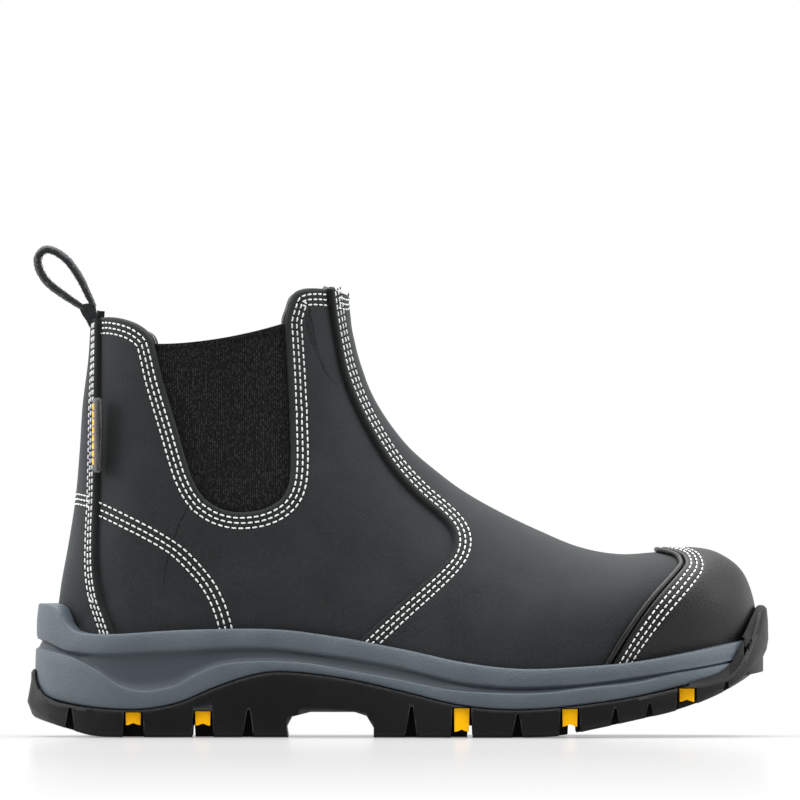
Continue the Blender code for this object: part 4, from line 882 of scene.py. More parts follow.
def make_looks():
    looks = {}
    looks["leather"] = nubuck("leather_nubuck", (0.0080, 0.0092, 0.0098), (0.0138, 0.0156, 0.0162))
    # The dark cut edge of the leather: the rim faces are the real dyed cut edge, and the strip of face beside the
    # edge in this colour is painted shadow along the edge.
    looks["leather_edge"] = nubuck("leather_cut_edge_and_shadow", (0.004, 0.004, 0.0045), (0.007, 0.0075, 0.008), 0.08)
    looks["flesh"] = nubuck("leather_flesh_side", (0.030, 0.031, 0.033), (0.070, 0.070, 0.072), 0.22)
    scuff = grained("coated_scuff_leather", (0.0045, 0.0046, 0.0050), 1.15, 0.11, 0.44, shine=0.26)
    looks["scuff"] = scuff.material
    looks["piping"] = grained("rolled_edge", (0.006, 0.006, 0.0065), 0.8, 0.04, 0.38).material
    looks["gore"] = elastic("elastic_ribs")
    looks["lining"] = woven("mesh_lining", (0.014, 0.015, 0.017), (0.042, 0.044, 0.048), 1.5)
    looks["footbed"] = woven("footbed_cloth", (0.018, 0.019, 0.021), (0.055, 0.058, 0.062), 1.1)
    looks["tag"] = woven("tag_tape", (0.010, 0.010, 0.012), (0.028, 0.029, 0.032), 0.5, 0.7)

    foam = grained("midsole_foam", (0.056, 0.070, 0.084), 1.05, 0.11, 0.48, light=(0.070, 0.086, 0.100))
    # The attribute marks the smooth recess on the moulded side. There the pebble bump is lowered, and the darker
    # colour (0.034, 0.043, 0.052) is painted shade in the recess.
    smooth_recess_shade_mask = foam.node("ShaderNodeAttribute", attribute_name="smooth_recess_and_shade").outputs["Fac"]
    shade = foam.shader.inputs["Base Color"].links[0].from_socket
    foam.colour(foam.mix(smooth_recess_shade_mask, shade, (0.034, 0.043, 0.052)))
    for bump in (n for n in foam.tree.nodes if n.type == "BUMP"):
        foam.tree.links.new(foam.ramp(smooth_recess_shade_mask, 0, 1, 0.8, 0.12), bump.inputs["Strength"])
    looks["midsole"] = foam.material

    rubber = grained("outsole_rubber", (0.0026, 0.0026, 0.0030), 1.1, 0.12, 0.46, shine=0.16)
    looks["rubber"] = rubber.material
    insert = grained("insert_rubber", (0.90, 0.42, 0.001), 1.3, 0.06, 0.5,
                     light=(0.98, 0.50, 0.001), shine=0.08)
    looks["insert"] = insert.material
    looks["print"] = grained("tag_yellow", (0.80, 0.37, 0.002), 2.0, 0.03, 0.55).material

    thread = Look("thread", (0.60, 0.61, 0.60), 0.62, Sheen_Weight=0.2, Specular_IOR_Level=0.35)
    twist = thread.noise(2.2, 2)
    thread.colour(thread.mix(thread.ramp(twist, 0.3, 0.7), (0.44, 0.45, 0.45), (0.74, 0.75, 0.74)))
    thread.bump(twist, 0.08, 0.6)
    looks["thread"] = thread.material
    # Dark marks at the stitch ends: painted shade where the thread goes into the leather.
    hole = Look("needle_hole", (0.0018, 0.0018, 0.002), 0.95, Specular_IOR_Level=0.05)
    hole.colour(hole.mix(hole.noise(2.0), (0.0012, 0.0012, 0.0014), (0.003, 0.003, 0.0032)))
    looks["hole"] = hole.material

    steel = Look("pressed_steel", (0.52, 0.53, 0.54), 0.34, Metallic=1.0)
    steel.rough(steel.ramp(steel.noise(0.6, 4), 0.3, 0.7, 0.26, 0.46))
    steel.bump(steel.noise(1.8, 3), 0.02, 0.5)
    looks["steel"] = steel.material
    board = Look("pressed_fibre_board", (0.42, 0.36, 0.27), 0.9)
    board.colour(board.mix(board.noise(1.2, 5), (0.34, 0.29, 0.21), (0.50, 0.44, 0.34)))
    board.bump(board.noise(2.2, 3), 0.05, 0.5)
    looks["board"] = board.material
    return looks


# ---------------------------------------------------------------- upper

VAMP_ROWS = (110, 90, 180)
SEAM_EDGE = (1.4, 1.1, 0.20)
# Width of the strip beside a vamp or backstay edge that takes the dark cut edge material: partly the dyed bevel,
# partly painted shadow along the edge.
DYED_EDGE_AND_SHADOW_WIDTH = 1.35
BACKSTAY_ROWS = (2.0, 3.5, 5.0)
BACKSTAY_CROSSING = [(-136.6, 102.0), (-133.0, 101.2), (-130.0, 100.5)]
VAMP_TOP_CUT = ((-30.0, 188.3), (-21.6, 184.9))
COUNTER_ROWS = (0.0, 2.6, 5.0)


def foremost(surface, line):
    """The index of a line's point nearest the toe."""
    return int(np.argmax(surface.at(line)[:, 0]))


def vamp_lines(surface, offset, trim=0.0):
    """The vamp's centre line and edge on one side, row for row: along the sole, up the seam to its
    foremost point, then up to the collar."""
    seam = moved(surface, seam_kt(surface, VAMP_EDGE, offset), trim)[::-1]
    bend = foremost(surface, seam)
    rows_foot, rows_low, rows_high = VAMP_ROWS
    ends = [0.0, VAMP_TURN_K, VAMP_BEND_K, VAMP_TOP_K]
    foot_k = np.linspace(0, seam[0][0], rows_foot)
    edge = np.vstack([
        np.stack([foot_k, np.ones(rows_foot)], axis=1),
        resample(surface, seam[: bend + 1], rows_low + 1)[1:],
        resample(surface, seam[bend:], rows_high + 1)[1:],
    ])
    centre = np.vstack([
        np.stack([np.linspace(*ends[:2], rows_foot), np.zeros(rows_foot)], axis=1),
        resample(surface, densify([(ends[1], 0.0), (ends[2], 0.0)], 80), rows_low + 1)[1:],
        resample(surface, densify([(ends[2], 0.0), (ends[3], 0.0)], 200), rows_high + 1)[1:],
    ])
    return centre, edge


def seam_stitches(thread, surface, line, rows, way, offset, start=0.0, end=1.0):
    """Rows of stitches beside a seam."""
    for row in rows:
        kt = resample(surface, offset_line(surface, line, way * row), 500)
        kt = kt[int(start * 499): int(end * 499) + 1]
        thread.on(surface, kt, offset - 0.2)


def trimmed(obj):
    """Cuts a closed piece off square at the front of the collar, and closes the cut."""
    (x0, z0), (x1, z1) = VAMP_TOP_CUT
    up = (z0 - z1, 0, x1 - x0)
    cut = bmesh.new()
    cut.from_mesh(obj.data)
    at = tuple(metres([(x0, 0, z0)])[0])
    bmesh.ops.bisect_plane(cut, geom=[*cut.verts, *cut.edges, *cut.faces], plane_co=at, plane_no=up,
                           clear_outer=True)
    filled = bmesh.ops.holes_fill(cut, edges=[edge for edge in cut.edges if edge.is_boundary])
    for face in filled["faces"]:
        face.material_index = len(obj.data.materials) - 1
    cut.to_mesh(obj.data)
    cut.free()
    return obj


def make_vamp():
    patches, thread = [], Stitches()
    for surface in SURFACES.values():
        centre, edge = vamp_lines(surface, OVERLAY_LAYER[1])
        patches.append((surface, *panel_grid(surface, edge, centre, STITCH_ROWS, -1, 34, SEAM_EDGE)))
        seam_stitches(thread, surface, edge[VAMP_ROWS[0]:], STITCH_ROWS, -1, OVERLAY_LAYER[1], 0.03, 0.995)
        top = seam_kt(surface, [(-29.4, 187.5), (-24.5, 186.3), (-21.0, 184.4)], OVERLAY_LAYER[1])
        top[-1][1] = 0.0
        for row in STITCH_ROWS:
            line = offset_line(surface, top, -row)
            thread.on(surface, line[8:], OVERLAY_LAYER[1] - 0.1)
    looks = [LOOKS["leather"], LOOKS["leather_edge"]]
    piece = trimmed(shell("vamp_leather", patches, *OVERLAY_LAYER, looks, DYED_EDGE_AND_SHADOW_WIDTH))
    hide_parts("vamp")
    thread.build("vamp_stitching")


def quarter_lines(surface, back_t_gap, front_shift, top_drop=0.0, foot_t=1.0):
    """The quarter's inner line, which runs round the gore, and its outer line, row for row."""
    drop = np.array([0.0, top_drop])
    collar = [*(np.array(BACK_TOP_EDGE[:-1]) - drop), *GORE_EDGE, *(np.array(FRONT_TOP_EDGE[1:]) - drop)]
    back_top = seam_kt(surface, collar)
    back_start = np.array([[back_top[0][0], 1 - back_t_gap / arc_length(surface, back_top[0][0])]])
    vamp = moved(surface, seam_kt(surface, VAMP_EDGE), front_shift)
    inner = resample(surface, np.vstack([back_start, back_top, vamp[:1]]), 421)
    back_k = np.linspace(back_top[0][0] - 0.9, HEEL_STATION, 8)
    back_t = [1 - back_t_gap / arc_length(surface, k) for k in back_k]
    back = np.stack([back_k, back_t], axis=1)
    heel = densify([(HEEL_STATION, back[-1][1]), (HEEL_STATION - 0.6, foot_t), (vamp[-1][0], foot_t)], 60)
    front = vamp[::-1]
    front = front[: -max(2, len(front) // 9)]
    bend = foremost(surface, front)
    parts = ((back, 106), (heel, 136), (front[: bend + 1], 61), (front[bend:], 121))
    parts = [resample(surface, line, count) for line, count in parts]
    outer = np.vstack([parts[0], *(part[1:] for part in parts[1:])])
    return inner, outer


def make_quarters():
    for name, side in SIDES.items():
        surface, thread = SURFACES[side], Stitches()
        inner, outer = quarter_lines(surface, BACKSTAY_UNDERLAP, VAMP_UNDERLAP)
        patch = (surface, *panel_grid(surface, inner, outer, STITCH_ROWS, -1, 36, SEAM_EDGE))
        piece = shell(f"{name}_quarter_leather", [patch], *QUARTER_LAYER,
                      [LOOKS["leather"], LOOKS["leather_edge"]], 0.0)
        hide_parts(f"{name}_quarter")
        seam_stitches(thread, surface, inner, STITCH_ROWS, -1, QUARTER_LAYER[1], 0.018, 0.985)
        counter = seam_kt(surface, COUNTER_EDGE)
        counter = counter[counter[:, 0] < 30]
        for row in COUNTER_ROWS:
            line = offset_line(surface, counter, -row) if row else counter
            seen = surface.at(line)[:, 0] > BACKSTAY_EDGE[4][0] + 0.8
            thread.on(surface, line[seen], QUARTER_LAYER[1] - 0.1)
        thread.build(f"{name}_quarter_stitching")


def make_backstay():
    patches, thread = [], Stitches()
    for surface in SURFACES.values():
        edge = resample(surface, seam_kt(surface, BACKSTAY_EDGE, OVERLAY_LAYER[1]), 240)
        edge[-1][1] = 1.0
        centre = resample(surface, densify([(edge[0][0], 1.0), (HEEL_STATION, 1.0)], 100), 240)
        patches.append((surface, *panel_grid(surface, edge, centre, BACKSTAY_ROWS, -1, 10, SEAM_EDGE)))
        seam_stitches(thread, surface, edge, BACKSTAY_ROWS, -1, OVERLAY_LAYER[1], 0.01, 0.93)
        for drop in (0.0, 2.1, 4.2):
            line = np.array(BACKSTAY_CROSSING) - (0, drop)
            thread.on(surface, seam_kt(surface, line, OVERLAY_LAYER[1]), OVERLAY_LAYER[1] - 0.1)
    looks = [LOOKS["leather"], LOOKS["leather_edge"]]
    piece = shell("backstay_leather", patches, *OVERLAY_LAYER, looks, DYED_EDGE_AND_SHADOW_WIDTH)
    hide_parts("backstay")
    thread.build("backstay_stitching")


RIB_PITCH = 0.92
RIB_DEPTH = 0.11
HEM_WIDTH = 2.0


def make_gores():
    for name, side in SIDES.items():
        surface = SURFACES[side]
        edge = moved(surface, seam_kt(surface, GORE_EDGE), -GORE_UNDERLAP)
        lowest = int(np.argmin(surface.at(edge)[:, 2]))
        spare = len(edge) // 14
        rear = resample(surface, edge[: lowest - spare], 150)
        front = resample(surface, edge[lowest + spare:][::-1], 150)
        grid = blend_rows(rear, front, 300)
        points = surface.at(grid)
        down = np.concatenate([np.zeros((1, 300)), np.cumsum(np.linalg.norm(np.diff(points, axis=0), axis=2),
                                                              axis=0)])
        rib = RIB_DEPTH * (0.5 - 0.5 * np.cos(2 * math.pi * points[..., 0] / RIB_PITCH))
        slant = points[..., 2] / 1.5 + points[..., 0] / RIB_PITCH / 2
        rib = rib * (0.75 + 0.25 * np.cos(2 * math.pi * slant))
        hem = np.clip((HEM_WIDTH - down) / 0.35, 0, 1)
        sink = rib * (1 - hem) - 0.35 * hem + 0.25 * np.exp(-((down - HEM_WIDTH - 0.4) / 0.4) ** 2)
        piece = shell(f"{name}_gore_elastic", [(surface, grid, sink, down + 9)], *GORE_LAYER, [LOOKS["gore"]])
        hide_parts(f"{name}_gore")


def scuff_edge(surface, offset):
    """The rear edge of the scuff cap: back to a peak on the centre line, then down the side."""
    side_line = surface.find(smooth(SCUFF_EDGE_SIDE, 60), offset)
    side_line[-1][1] = 1.0
    peak = np.array([[SCUFF_PEAK_K, 0.0]])
    near = np.array([[SCUFF_PEAK_K - 0.08, side_line[0][1] * 0.35]])
    shoulder = np.array([[side_line[0][0] + 0.12, side_line[0][1] * 0.78]])
    joined = catmull(np.vstack([peak, near, shoulder, side_line[:1]]), np.linspace(0, 3, 30))
    return np.vstack([joined, side_line[1:]])


def make_scuff_cap():
    patches, thread, bead = [], Stitches(), []
    for side in (LATERAL, MEDIAL):
        surface = SURFACES[side]
        edge = resample(surface, scuff_edge(surface, SCUFF_LAYER[1]), 220)
        toe = np.stack([np.zeros(220), np.linspace(0, 1, 220)], axis=1)
        grid, sink, distance = panel_grid(surface, edge, toe, STITCH_ROWS, 1, 60, (1.0, 1.0, 0.2))
        grid[0, :, 1] = 0.0
        patches.append((surface, grid, sink, distance))
        for row in STITCH_ROWS:
            line = offset_line(surface, edge, row)
            line[0][1] = 0.0
            thread.on(surface, line[:-18], SCUFF_LAYER[1] - 0.15)
        back = np.stack([edge[:, 0] + 0.10, edge[:, 1]], axis=1)[:-20]
        points = even(surface.at(back, OVERLAY_LAYER[1] + PIPING_RADIUS), 90)
        bead += list(points[::-1]) if side == LATERAL else list(points[1:])
    piece = shell("scuff_cap_leather", patches, *SCUFF_LAYER, [LOOKS["scuff"], LOOKS["piping"]], 0.9)
    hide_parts("scuff_cap")
    thread.build("scuff_cap_stitching")
    bead = tube("scuff_cap_bead", bead, PIPING_RADIUS, [LOOKS["piping"]])
    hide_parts("scuff_cap_piping")


def make_linings():
    patches = []
    for surface in SURFACES.values():
        centre, edge = vamp_lines(surface, 0.0, LINING_SEAM)
        edge = np.stack([edge[:, 0], np.minimum(edge[:, 1], LINING_END_T)], axis=1)
        grid = blend_rows(centre[::3], edge[::3], 30)
        patches.append((surface, grid, np.zeros(grid.shape[:2]), np.full(grid.shape[:2], 9.0)))
    piece = trimmed(shell("vamp_lining_mesh", patches, *LINING_LAYER, [LOOKS["lining"]]))
    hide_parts("vamp_lining")
    for name, side in SIDES.items():
        surface = SURFACES[side]
        inner, outer = quarter_lines(surface, LINING_BACK_GAP, -LINING_SEAM, COLLAR_LINING_DROP, LINING_END_T)
        grid = blend_rows(inner[::2], outer[::2], 30)
        patch = (surface, grid, np.zeros(grid.shape[:2]), np.full(grid.shape[:2], 9.0))
        piece = shell(f"{name}_quarter_lining_mesh", [patch], *LINING_LAYER, [LOOKS["lining"]])
        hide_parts(f"{name}_quarter_lining")


# ---------------------------------------------------------------- sole unit

RECESS_LINE = [(-160, 38), (-148, 36), (-137, 33), (-127, 28), (-118, 22), (-108, 19.5), (-95, 21.5), (-85, 26.8),
               (-75, 30.5), (-60, 32), (-40, 31.2), (-20, 27.8), (0, 24.2), (20, 20.2), (40, 18.7), (60, 18.8),
               (80, 21), (100, 23.2), (118, 27.5), (160, 38)]
recess_z = height_of(RECESS_LINE)


def near_toe(width):
    """1 at the ring's toe point, falling to 0 at width degrees of the ring from it."""
    steps = np.abs(np.arange(RING_COUNT) - RING_HALF) * (30 / RING_HALF)
    return np.clip(1 - steps / width, 0, 1)


def near_heel(width):
    """1 at the ring's heel point, falling to 0 at width degrees of the ring from it."""
    steps = np.minimum(np.arange(RING_COUNT), RING_COUNT - np.arange(RING_COUNT)) * (30 / RING_HALF)
    return np.clip(1 - steps / width, 0, 1)


def ease(x):
    return x * x * (3 - 2 * x)


def step(x, start, end):
    return ease(np.clip((x - start) / (end - start), 0, 1))


def leather_standing(x):
    """How far the leather stands off the master surface where it meets the midsole's lip."""
    table = np.array([(-160, OVERLAY_LAYER[1]), (-121, OVERLAY_LAYER[1]), (-119, QUARTER_LAYER[1]),
                      (-17, QUARTER_LAYER[1]), (-15, OVERLAY_LAYER[1]), (87, OVERLAY_LAYER[1]),
                      (89, SCUFF_LAYER[1]), (160, SCUFF_LAYER[1])])
    return np.interp(x, table[:, 0], table[:, 1])


def make_midsole():
    """Dense rings up the moulded side: lower band, smooth recess, crease, upper roll and lip."""
    x = RING[:, 0]
    bed = bed_z(x) + SOLE_SPLIT_GAP
    lip, groove = feather_z(x), groove_z(x)
    recess = np.clip(recess_z(x), bed + 1.0, groove - 0.4)
    open_part = step(groove - recess, 0.6, 2.4)
    inner = upper_inset(lip) - leather_standing(x) + 0.8
    top = np.minimum(1.5, inner - 1.0)
    bulge = np.minimum(0.8, inner - 1.6)
    deep = 1.0 + 0.9 * open_part
    # The third number of each profile point marks the smooth recess panel; the midsole material lowers its bump
    # and paints it darker there, as painted shade.
    profile = [(4.0, bed, 0), (1.3, bed, 0), (0.75, bed + 0.25, 0), (0.45, bed + 0.9, 0)]
    for share in (0.2, 0.4, 0.6, 0.8):
        profile.append((0.45 - 0.35 * math.sin(share * math.pi), bed + 0.9 + (recess - bed - 1.6) * share, 0))
    profile += [(0.35, recess - 0.55, 0), (0.55, recess - 0.2, 0), (0.55 + 0.7 * open_part, recess + 0.15, 1),
                (deep, recess + 0.7 * open_part, 1)]
    for share in (0.3, 0.55, 0.8):
        rise = (groove - recess - 1.3 * open_part) * share
        profile.append((deep + 0.9 * share, recess + 0.7 * open_part + rise, 1))
    profile += [(deep + 1.15, groove - 0.35, 1), (deep + 1.0, groove, 0.6), (deep + 0.2, groove + 0.4, 0),
                (deep * 0.6, groove + 0.8, 0)]
    for share in (0.12, 0.25, 0.4, 0.55, 0.7, 0.82):
        swell = bulge + (top - bulge) * share - 0.35 * math.sin(share * math.pi)
        profile.append((swell, groove + 1.0 + (lip - groove - 1.8) * share, 0))
    profile += [(top, lip - 0.75, 0), (top + 0.25, lip - 0.32, 0), (top + 0.6, lip - 0.08, 0),
                (np.maximum(top + 0.9, inner - 0.4), lip, 0), (inner, lip - 0.5, 0), (inner, floor_z(x), 0)]
    rings, panel = [], []
    for inset, z, flat in profile:
        z = np.broadcast_to(np.asarray(z, float), x.shape)
        rings.append(np.column_stack([inset_ring(inset), z]))
        panel += list(np.broadcast_to(flat * open_part, x.shape))
    obj = ring_loft("midsole_moulded", rings, [LOOKS["midsole"]], panel)
    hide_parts("midsole")


def ring_loft(name, rings, materials, panel=None, smooth_angle=50, body="boot"):
    """A closed solid through rings, capped across by rungs between the two sides."""
    count = RING_COUNT
    points = np.vstack(rings)
    faces = []
    for level in range(len(rings) - 1):
        for i in range(count):
            a, b = level * count + i, level * count + (i + 1) % count
            faces.append((a, b, b + count, a + count))
    last = (len(rings) - 1) * count
    for i in range(count // 2):
        across = (i, i + 1, (count - i - 1) % count, (count - i) % count)
        corners = tuple(dict.fromkeys(across))
        faces.append(corners[::-1])
        faces.append(tuple(last + c for c in corners))
    obj = new_object(name, points, faces, materials, body, smooth_angle=smooth_angle, join=panel is None)
    if panel is not None:
        # The panel values are stored as an attribute; the midsole material uses it to lower the bump on the
        # smooth recess and to paint the recess with shade.
        layer = obj.data.attributes.new("smooth_recess_and_shade", "FLOAT", "POINT")
        layer.data.foreach_set("value", np.asarray(panel, np.float32))
        fix = bmesh.new()
        fix.from_mesh(obj.data)
        bmesh.ops.recalc_face_normals(fix, faces=fix.faces)
        if fix.calc_volume(signed=True) < 0:
            bmesh.ops.reverse_faces(fix, faces=fix.faces)
        fix.to_mesh(obj.data)
        fix.free()
    return obj


def outsole_rings():
    """The rubber before the tread is cut: a tray whose rim climbs at the toe and the heel's back."""
    x = RING[:, 0]
    toe, heel = ease(near_toe(BUMPER_HALF)), ease(near_heel(4))
    bumper, tab = np.clip(near_toe(BUMPER_HALF + 2) * 3, 0, 1), np.clip(near_heel(4) * 3, 0, 1)
    bed, ground = bed_z(x), ground_z(x)
    rim = np.where(near_toe(BUMPER_HALF) + near_heel(3) > 0, np.maximum(rim_z(x), bed), bed)
    wall = 1.4 - 1.7 * bumper - 1.7 * tab
    top_inside = np.where(rim > feather_z(x) + 1.5, 1.0, wall - 0.25)
    outside = np.minimum(0.6 - BUMPER_OUT * 0.9 * toe, np.minimum(wall, top_inside) - RIM_THICK)
    shelf = np.clip(feather_z(x) + 0.9, bed, rim)
    level = np.clip(feather_z(x) + 0.5, bed, rim)
    high = bed - ground
    tall = rim - ground
    toe_share = np.clip(toe, 0, 1)
    heel_share = np.clip(heel, 0, 1)

    def level_at(share_high, share_tall, rise, side, at_toe, at_heel):
        """One ring: its inset on the sides, at the toe and at the heel, and its height."""
        inset = side * (1 - toe_share - heel_share) + at_toe * toe_share + at_heel * heel_share
        ends = toe_share + heel_share
        return inset, ground + rise + high * share_high * (1 - ends) + tall * share_tall * ends

    levels = [
        level_at(0.0, 0.0, 0.0, 3.0, 4.6, 1.5),
        level_at(0.0, 0.0, 0.7, 1.5, 3.2, 0.0),
        level_at(0.0, 0.0, 1.9, 0.6, 2.0, -1.2),
        level_at(0.35, 0.35, 0.0, 0.2, -1.8, -3.2),
        level_at(0.5, 0.5, 0.0, 0.0, -2.5, -2.6),
        level_at(0.8, 0.78, 0.0, outside * 0.5 - 0.4, -2.3, -1.6),
        level_at(1.0, 1.0, -1.5, outside - 0.5, -1.8, -1.6),
        level_at(1.0, 1.0, -0.4, outside - 0.1, -0.9, -0.9),
        level_at(1.0, 1.0, 0.0, outside + 0.3, 0.2, 0.0),
        (top_inside, rim),
        (top_inside, shelf),
        (wall, level),
        (wall, bed),
        (3.6, bed),
    ]
    return [np.column_stack([inset_ring(inset), np.broadcast_to(z, x.shape)]) for inset, z in levels]


def side_y(x, side):
    """The outline's y at x on one side."""
    half = half_ring(RING, side)
    return float(np.interp(x, half[:, 0], half[:, 1]))


def reach_range(x, side, reach):
    """The y range of a cut from beyond the sole's side to reach inside it."""
    edge = side_y(x, side)
    ends = (edge + side * 12, edge - side * reach)
    return min(ends), max(ends)


def channel_top(x, top):
    """The height of a side channel's roof."""
    return bed_z(x) - BED_COVER if top is None else top


def prism(outline, low, high):
    """An outline in the XZ plane, (x, z), swept along Y: points and faces."""
    points = [(x, low, z) for x, z in outline] + [(x, high, z) for x, z in outline]
    count = len(outline)
    faces = [tuple(range(count))[::-1], tuple(range(count, 2 * count))]
    faces += [(i, (i + 1) % count, (i + 1) % count + count, i + count) for i in range(count)]
    return points, faces


def bar(tops, lows):
    """A bar along the sole: pairs of upper points and of lower points, station by station."""
    points, faces = [], []
    for top, low in zip(tops, lows):
        points += [low[0], low[1], top[1], top[0]]
    for i in range(len(tops) - 1):
        a = 4 * i
        faces += [(a + j, a + (j + 1) % 4, a + 4 + (j + 1) % 4, a + 4 + j) for j in range(4)]
    faces += [(0, 1, 2, 3), tuple(len(points) - 4 + j for j in (3, 2, 1, 0))]
    return points, faces


def tread_cuts():
    """Everything that is cut out of the rubber: channels, notches, the arch and the middle grooves."""
    cuts = [prism(ARCH, -80, 80)]
    for side in SIDES.values():
        for x, _, top in CHANNELS:
            low, high = ground_z(x) - 9, channel_top(x, top)
            half = CHANNEL_WIDTH / 2
            wide, narrow = half + 0.9, half - 0.3
            outline = [(x - wide, low), (x + wide, low), (x + narrow, high), (x - narrow, high)]
            cuts.append(prism(outline, *reach_range(x, side, CHANNEL_REACH)))
        for x, width, apex in NOTCHES:
            low = ground_z(x) - 6
            outline = [(x - width, low), (x + width * 0.8, low), (x + 0.6, apex), (x - 0.5, apex)]
            cuts.append(prism(outline, *reach_range(x, side, NOTCH_REACH)))
    for start, end, count in ((-135, -56, 5), (2, 128, 9)):
        for side in SIDES.values():
            tops, lows = [], []
            for x in np.linspace(start, end, 12):
                y = side_y(x, side) - side * (CHANNEL_REACH - MIDLINE_CHANNEL * 0.2)
                z = ground_z(x) + TREAD_DEPTH
                tops.append([(x, y - MIDLINE_CHANNEL / 2, z), (x, y + MIDLINE_CHANNEL / 2, z)])
                lows.append([(x, y - MIDLINE_CHANNEL / 2 - 0.8, -6), (x, y + MIDLINE_CHANNEL / 2 + 0.8, -6)])
            cuts.append(bar(tops, lows))
        for x in np.linspace(start, end, count + 1)[1:-1]:
            z = ground_z(x) + TREAD_DEPTH
            inner = CHANNEL_REACH + 1.0
            outline = [(x - 2.2, -6), (x + 2.2, -6), (x + 1.6, z - 0.4), (x - 1.6, z - 0.4)]
            cuts.append(prism(outline, side_y(x, LATERAL) + inner, side_y(x, MEDIAL) - inner))
    return cuts


def make_outsole():
    obj = ring_loft("outsole_rubber", outsole_rings(), [LOOKS["rubber"]])
    cutters = bpy.data.collections.new("cutters")
    for points, faces in tread_cuts():
        mesh = bpy.data.meshes.new("cut")
        mesh.from_pydata(metres(points).tolist(), [], faces)
        fixed = bmesh.new()
        fixed.from_mesh(mesh)
        bmesh.ops.recalc_face_normals(fixed, faces=fixed.faces)
        if fixed.calc_volume(signed=True) < 0:
            bmesh.ops.reverse_faces(fixed, faces=fixed.faces)
        fixed.to_mesh(mesh)
        fixed.free()
        cutters.objects.link(bpy.data.objects.new("cut", mesh))
    bpy.context.scene.collection.children.link(cutters)
    cut = obj.modifiers.new("tread", "BOOLEAN")
    cut.operation, cut.operand_type, cut.collection, cut.solver = "DIFFERENCE", "COLLECTION", cutters, "EXACT"
    apply_modifiers(obj)
    for old in list(cutters.objects):
        bpy.data.objects.remove(old)
    bpy.data.collections.remove(cutters)
    round_edges(obj, 0.45)
    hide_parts("outsole")


def apply_modifiers(obj):
    bpy.context.view_layer.update()
    mesh = bpy.data.meshes.new_from_object(obj.evaluated_get(bpy.context.evaluated_depsgraph_get()))
    obj.modifiers.clear()
    obj.data = mesh


def round_edges(obj, width):
    """Rounds the sharp edges of a hard or moulded part."""
    bevel = obj.modifiers.new("edges", "BEVEL")
    bevel.width = width * MM
    bevel.segments = 2
    bevel.limit_method = "ANGLE"
    bevel.angle_limit = math.radians(40)
    bevel.harden_normals = False
    bevel.use_clamp_overlap = True


def inner_ring(extra):
    """The plan ring of what lies inside the linings, with more room round the heel's tight curve."""
    x = RING[:, 0]
    heel = 1.8 * np.clip((-90 - x) / 20, 0, 1)
    foot = np.maximum(feather_inset(x), INNER_INSET)
    return inset_ring(foot + 6.2 + heel + extra)


def make_footbed():
    """The loose footbed: a cloth top, crowned, with a raised rim round the heel."""
    rings = []
    for extra, rise, share in ((2.4, 6.2, 0), (1.5, 6.9, 0), (1.2, 7.9, 0), (1.3, 9.2, 0.5), (1.8, 10.3, 0.9),
                               (2.5, 10.6, 1.0), (3.4, 10.6, 1.0), (5.0, 10.4, 0.8), (7.0, 10.3, 0.45),
                               (10.0, 10.2, 0.15), (14.0, 10.2, 0.0), (20.0, 10.3, 0.0)):
        plan = inner_ring(extra)
        cup = 7.0 * np.clip((-70 - plan[:, 0]) / 50, 0, 1)
        rings.append(np.column_stack([plan, floor_z(plan[:, 0]) + rise + cup * share]))
    obj = ring_loft("footbed_pad", rings, [LOOKS["footbed"]])
    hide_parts("footbed")


# ---------------------------------------------------------------- trim


def make_pull_loop():
    """The leather strap's loop: smooth outside, rough flesh side within, stitched along both edges."""
    path = smooth(LOOP_PATH, 110)
    tangent = np.gradient(path, axis=0)
    tangent /= np.linalg.norm(tangent, axis=1)[:, None]
    normal = np.stack([-tangent[:, 1], tangent[:, 0]], axis=1)
    turn = np.linspace(0, 2 * math.pi, 36, endpoint=False)
    across = np.sign(np.cos(turn)) * np.abs(np.cos(turn)) ** 0.28 * LOOP_WIDTH / 2
    through = np.sign(np.sin(turn)) * np.abs(np.sin(turn)) ** 0.55 / 2
    grid = np.zeros((len(path), 36, 3))
    wave = np.random.default_rng(5).normal(0, 1, (len(path), 36))
    run = np.concatenate([[0.0], np.cumsum(np.linalg.norm(np.diff(path, axis=0), axis=1))])
    swell = np.clip(np.minimum(run, run[-1] - run) / LOOP_TAPER, 0, 1)
    thick = LOOP_THICK + (LOOP_SWELL - LOOP_THICK) * swell
    for i, (p, n) in enumerate(zip(path, normal)):
        rough = np.where(through < -0.1, 0.10 * wave[i], 0.015 * wave[i])
        grid[i, :, 0] = p[0] + n[0] * (through * thick[i] + rough)
        grid[i, :, 1] = across
        grid[i, :, 2] = p[1] + n[1] * (through * thick[i] + rough)
    obj = loft("pull_loop_strap", grid, [LOOKS["leather"], LOOKS["flesh"]], "loop")
    tree = KDTree(len(path))
    for i, q in enumerate(metres(np.column_stack([path[:, 0], path[:, 0] * 0, path[:, 1]]))):
        tree.insert(q, i)
    tree.balance()
    for face in obj.data.polygons:
        c = face.center
        _, i, _ = tree.find((c.x, 0, c.z))
        p = metres([(path[i][0], 0, path[i][1])])[0]
        face.material_index = int((c.x - p[0]) * normal[i][0] + (c.z - p[2]) * normal[i][1] < -0.0003)
    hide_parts("pull_loop")
    thread = Stitches()
    out = path + normal * (thick[:, None] / 2 - 0.12)
    for y in (-LOOP_WIDTH / 2 + 2.0, LOOP_WIDTH / 2 - 2.0):
        points = np.column_stack([out[:, 0], np.full(len(out), y), out[:, 1]])[6:-6]
        thread.row(points, np.column_stack([normal[:, 0], normal[:, 0] * 0, normal[:, 1]])[6:-6])
    thread.build("pull_loop_stitching", "loop")


def make_loop_stub():
    """The strap's two ends, sewn together into the top of the collar."""
    points, faces = prism(LOOP_STUB, -LOOP_WIDTH * 0.48, LOOP_WIDTH * 0.48)
    obj = new_object("pull_loop_ends", points, faces, [LOOKS["leather"]])
    round_edges(obj, 0.6)
    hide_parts("pull_loop_tail")


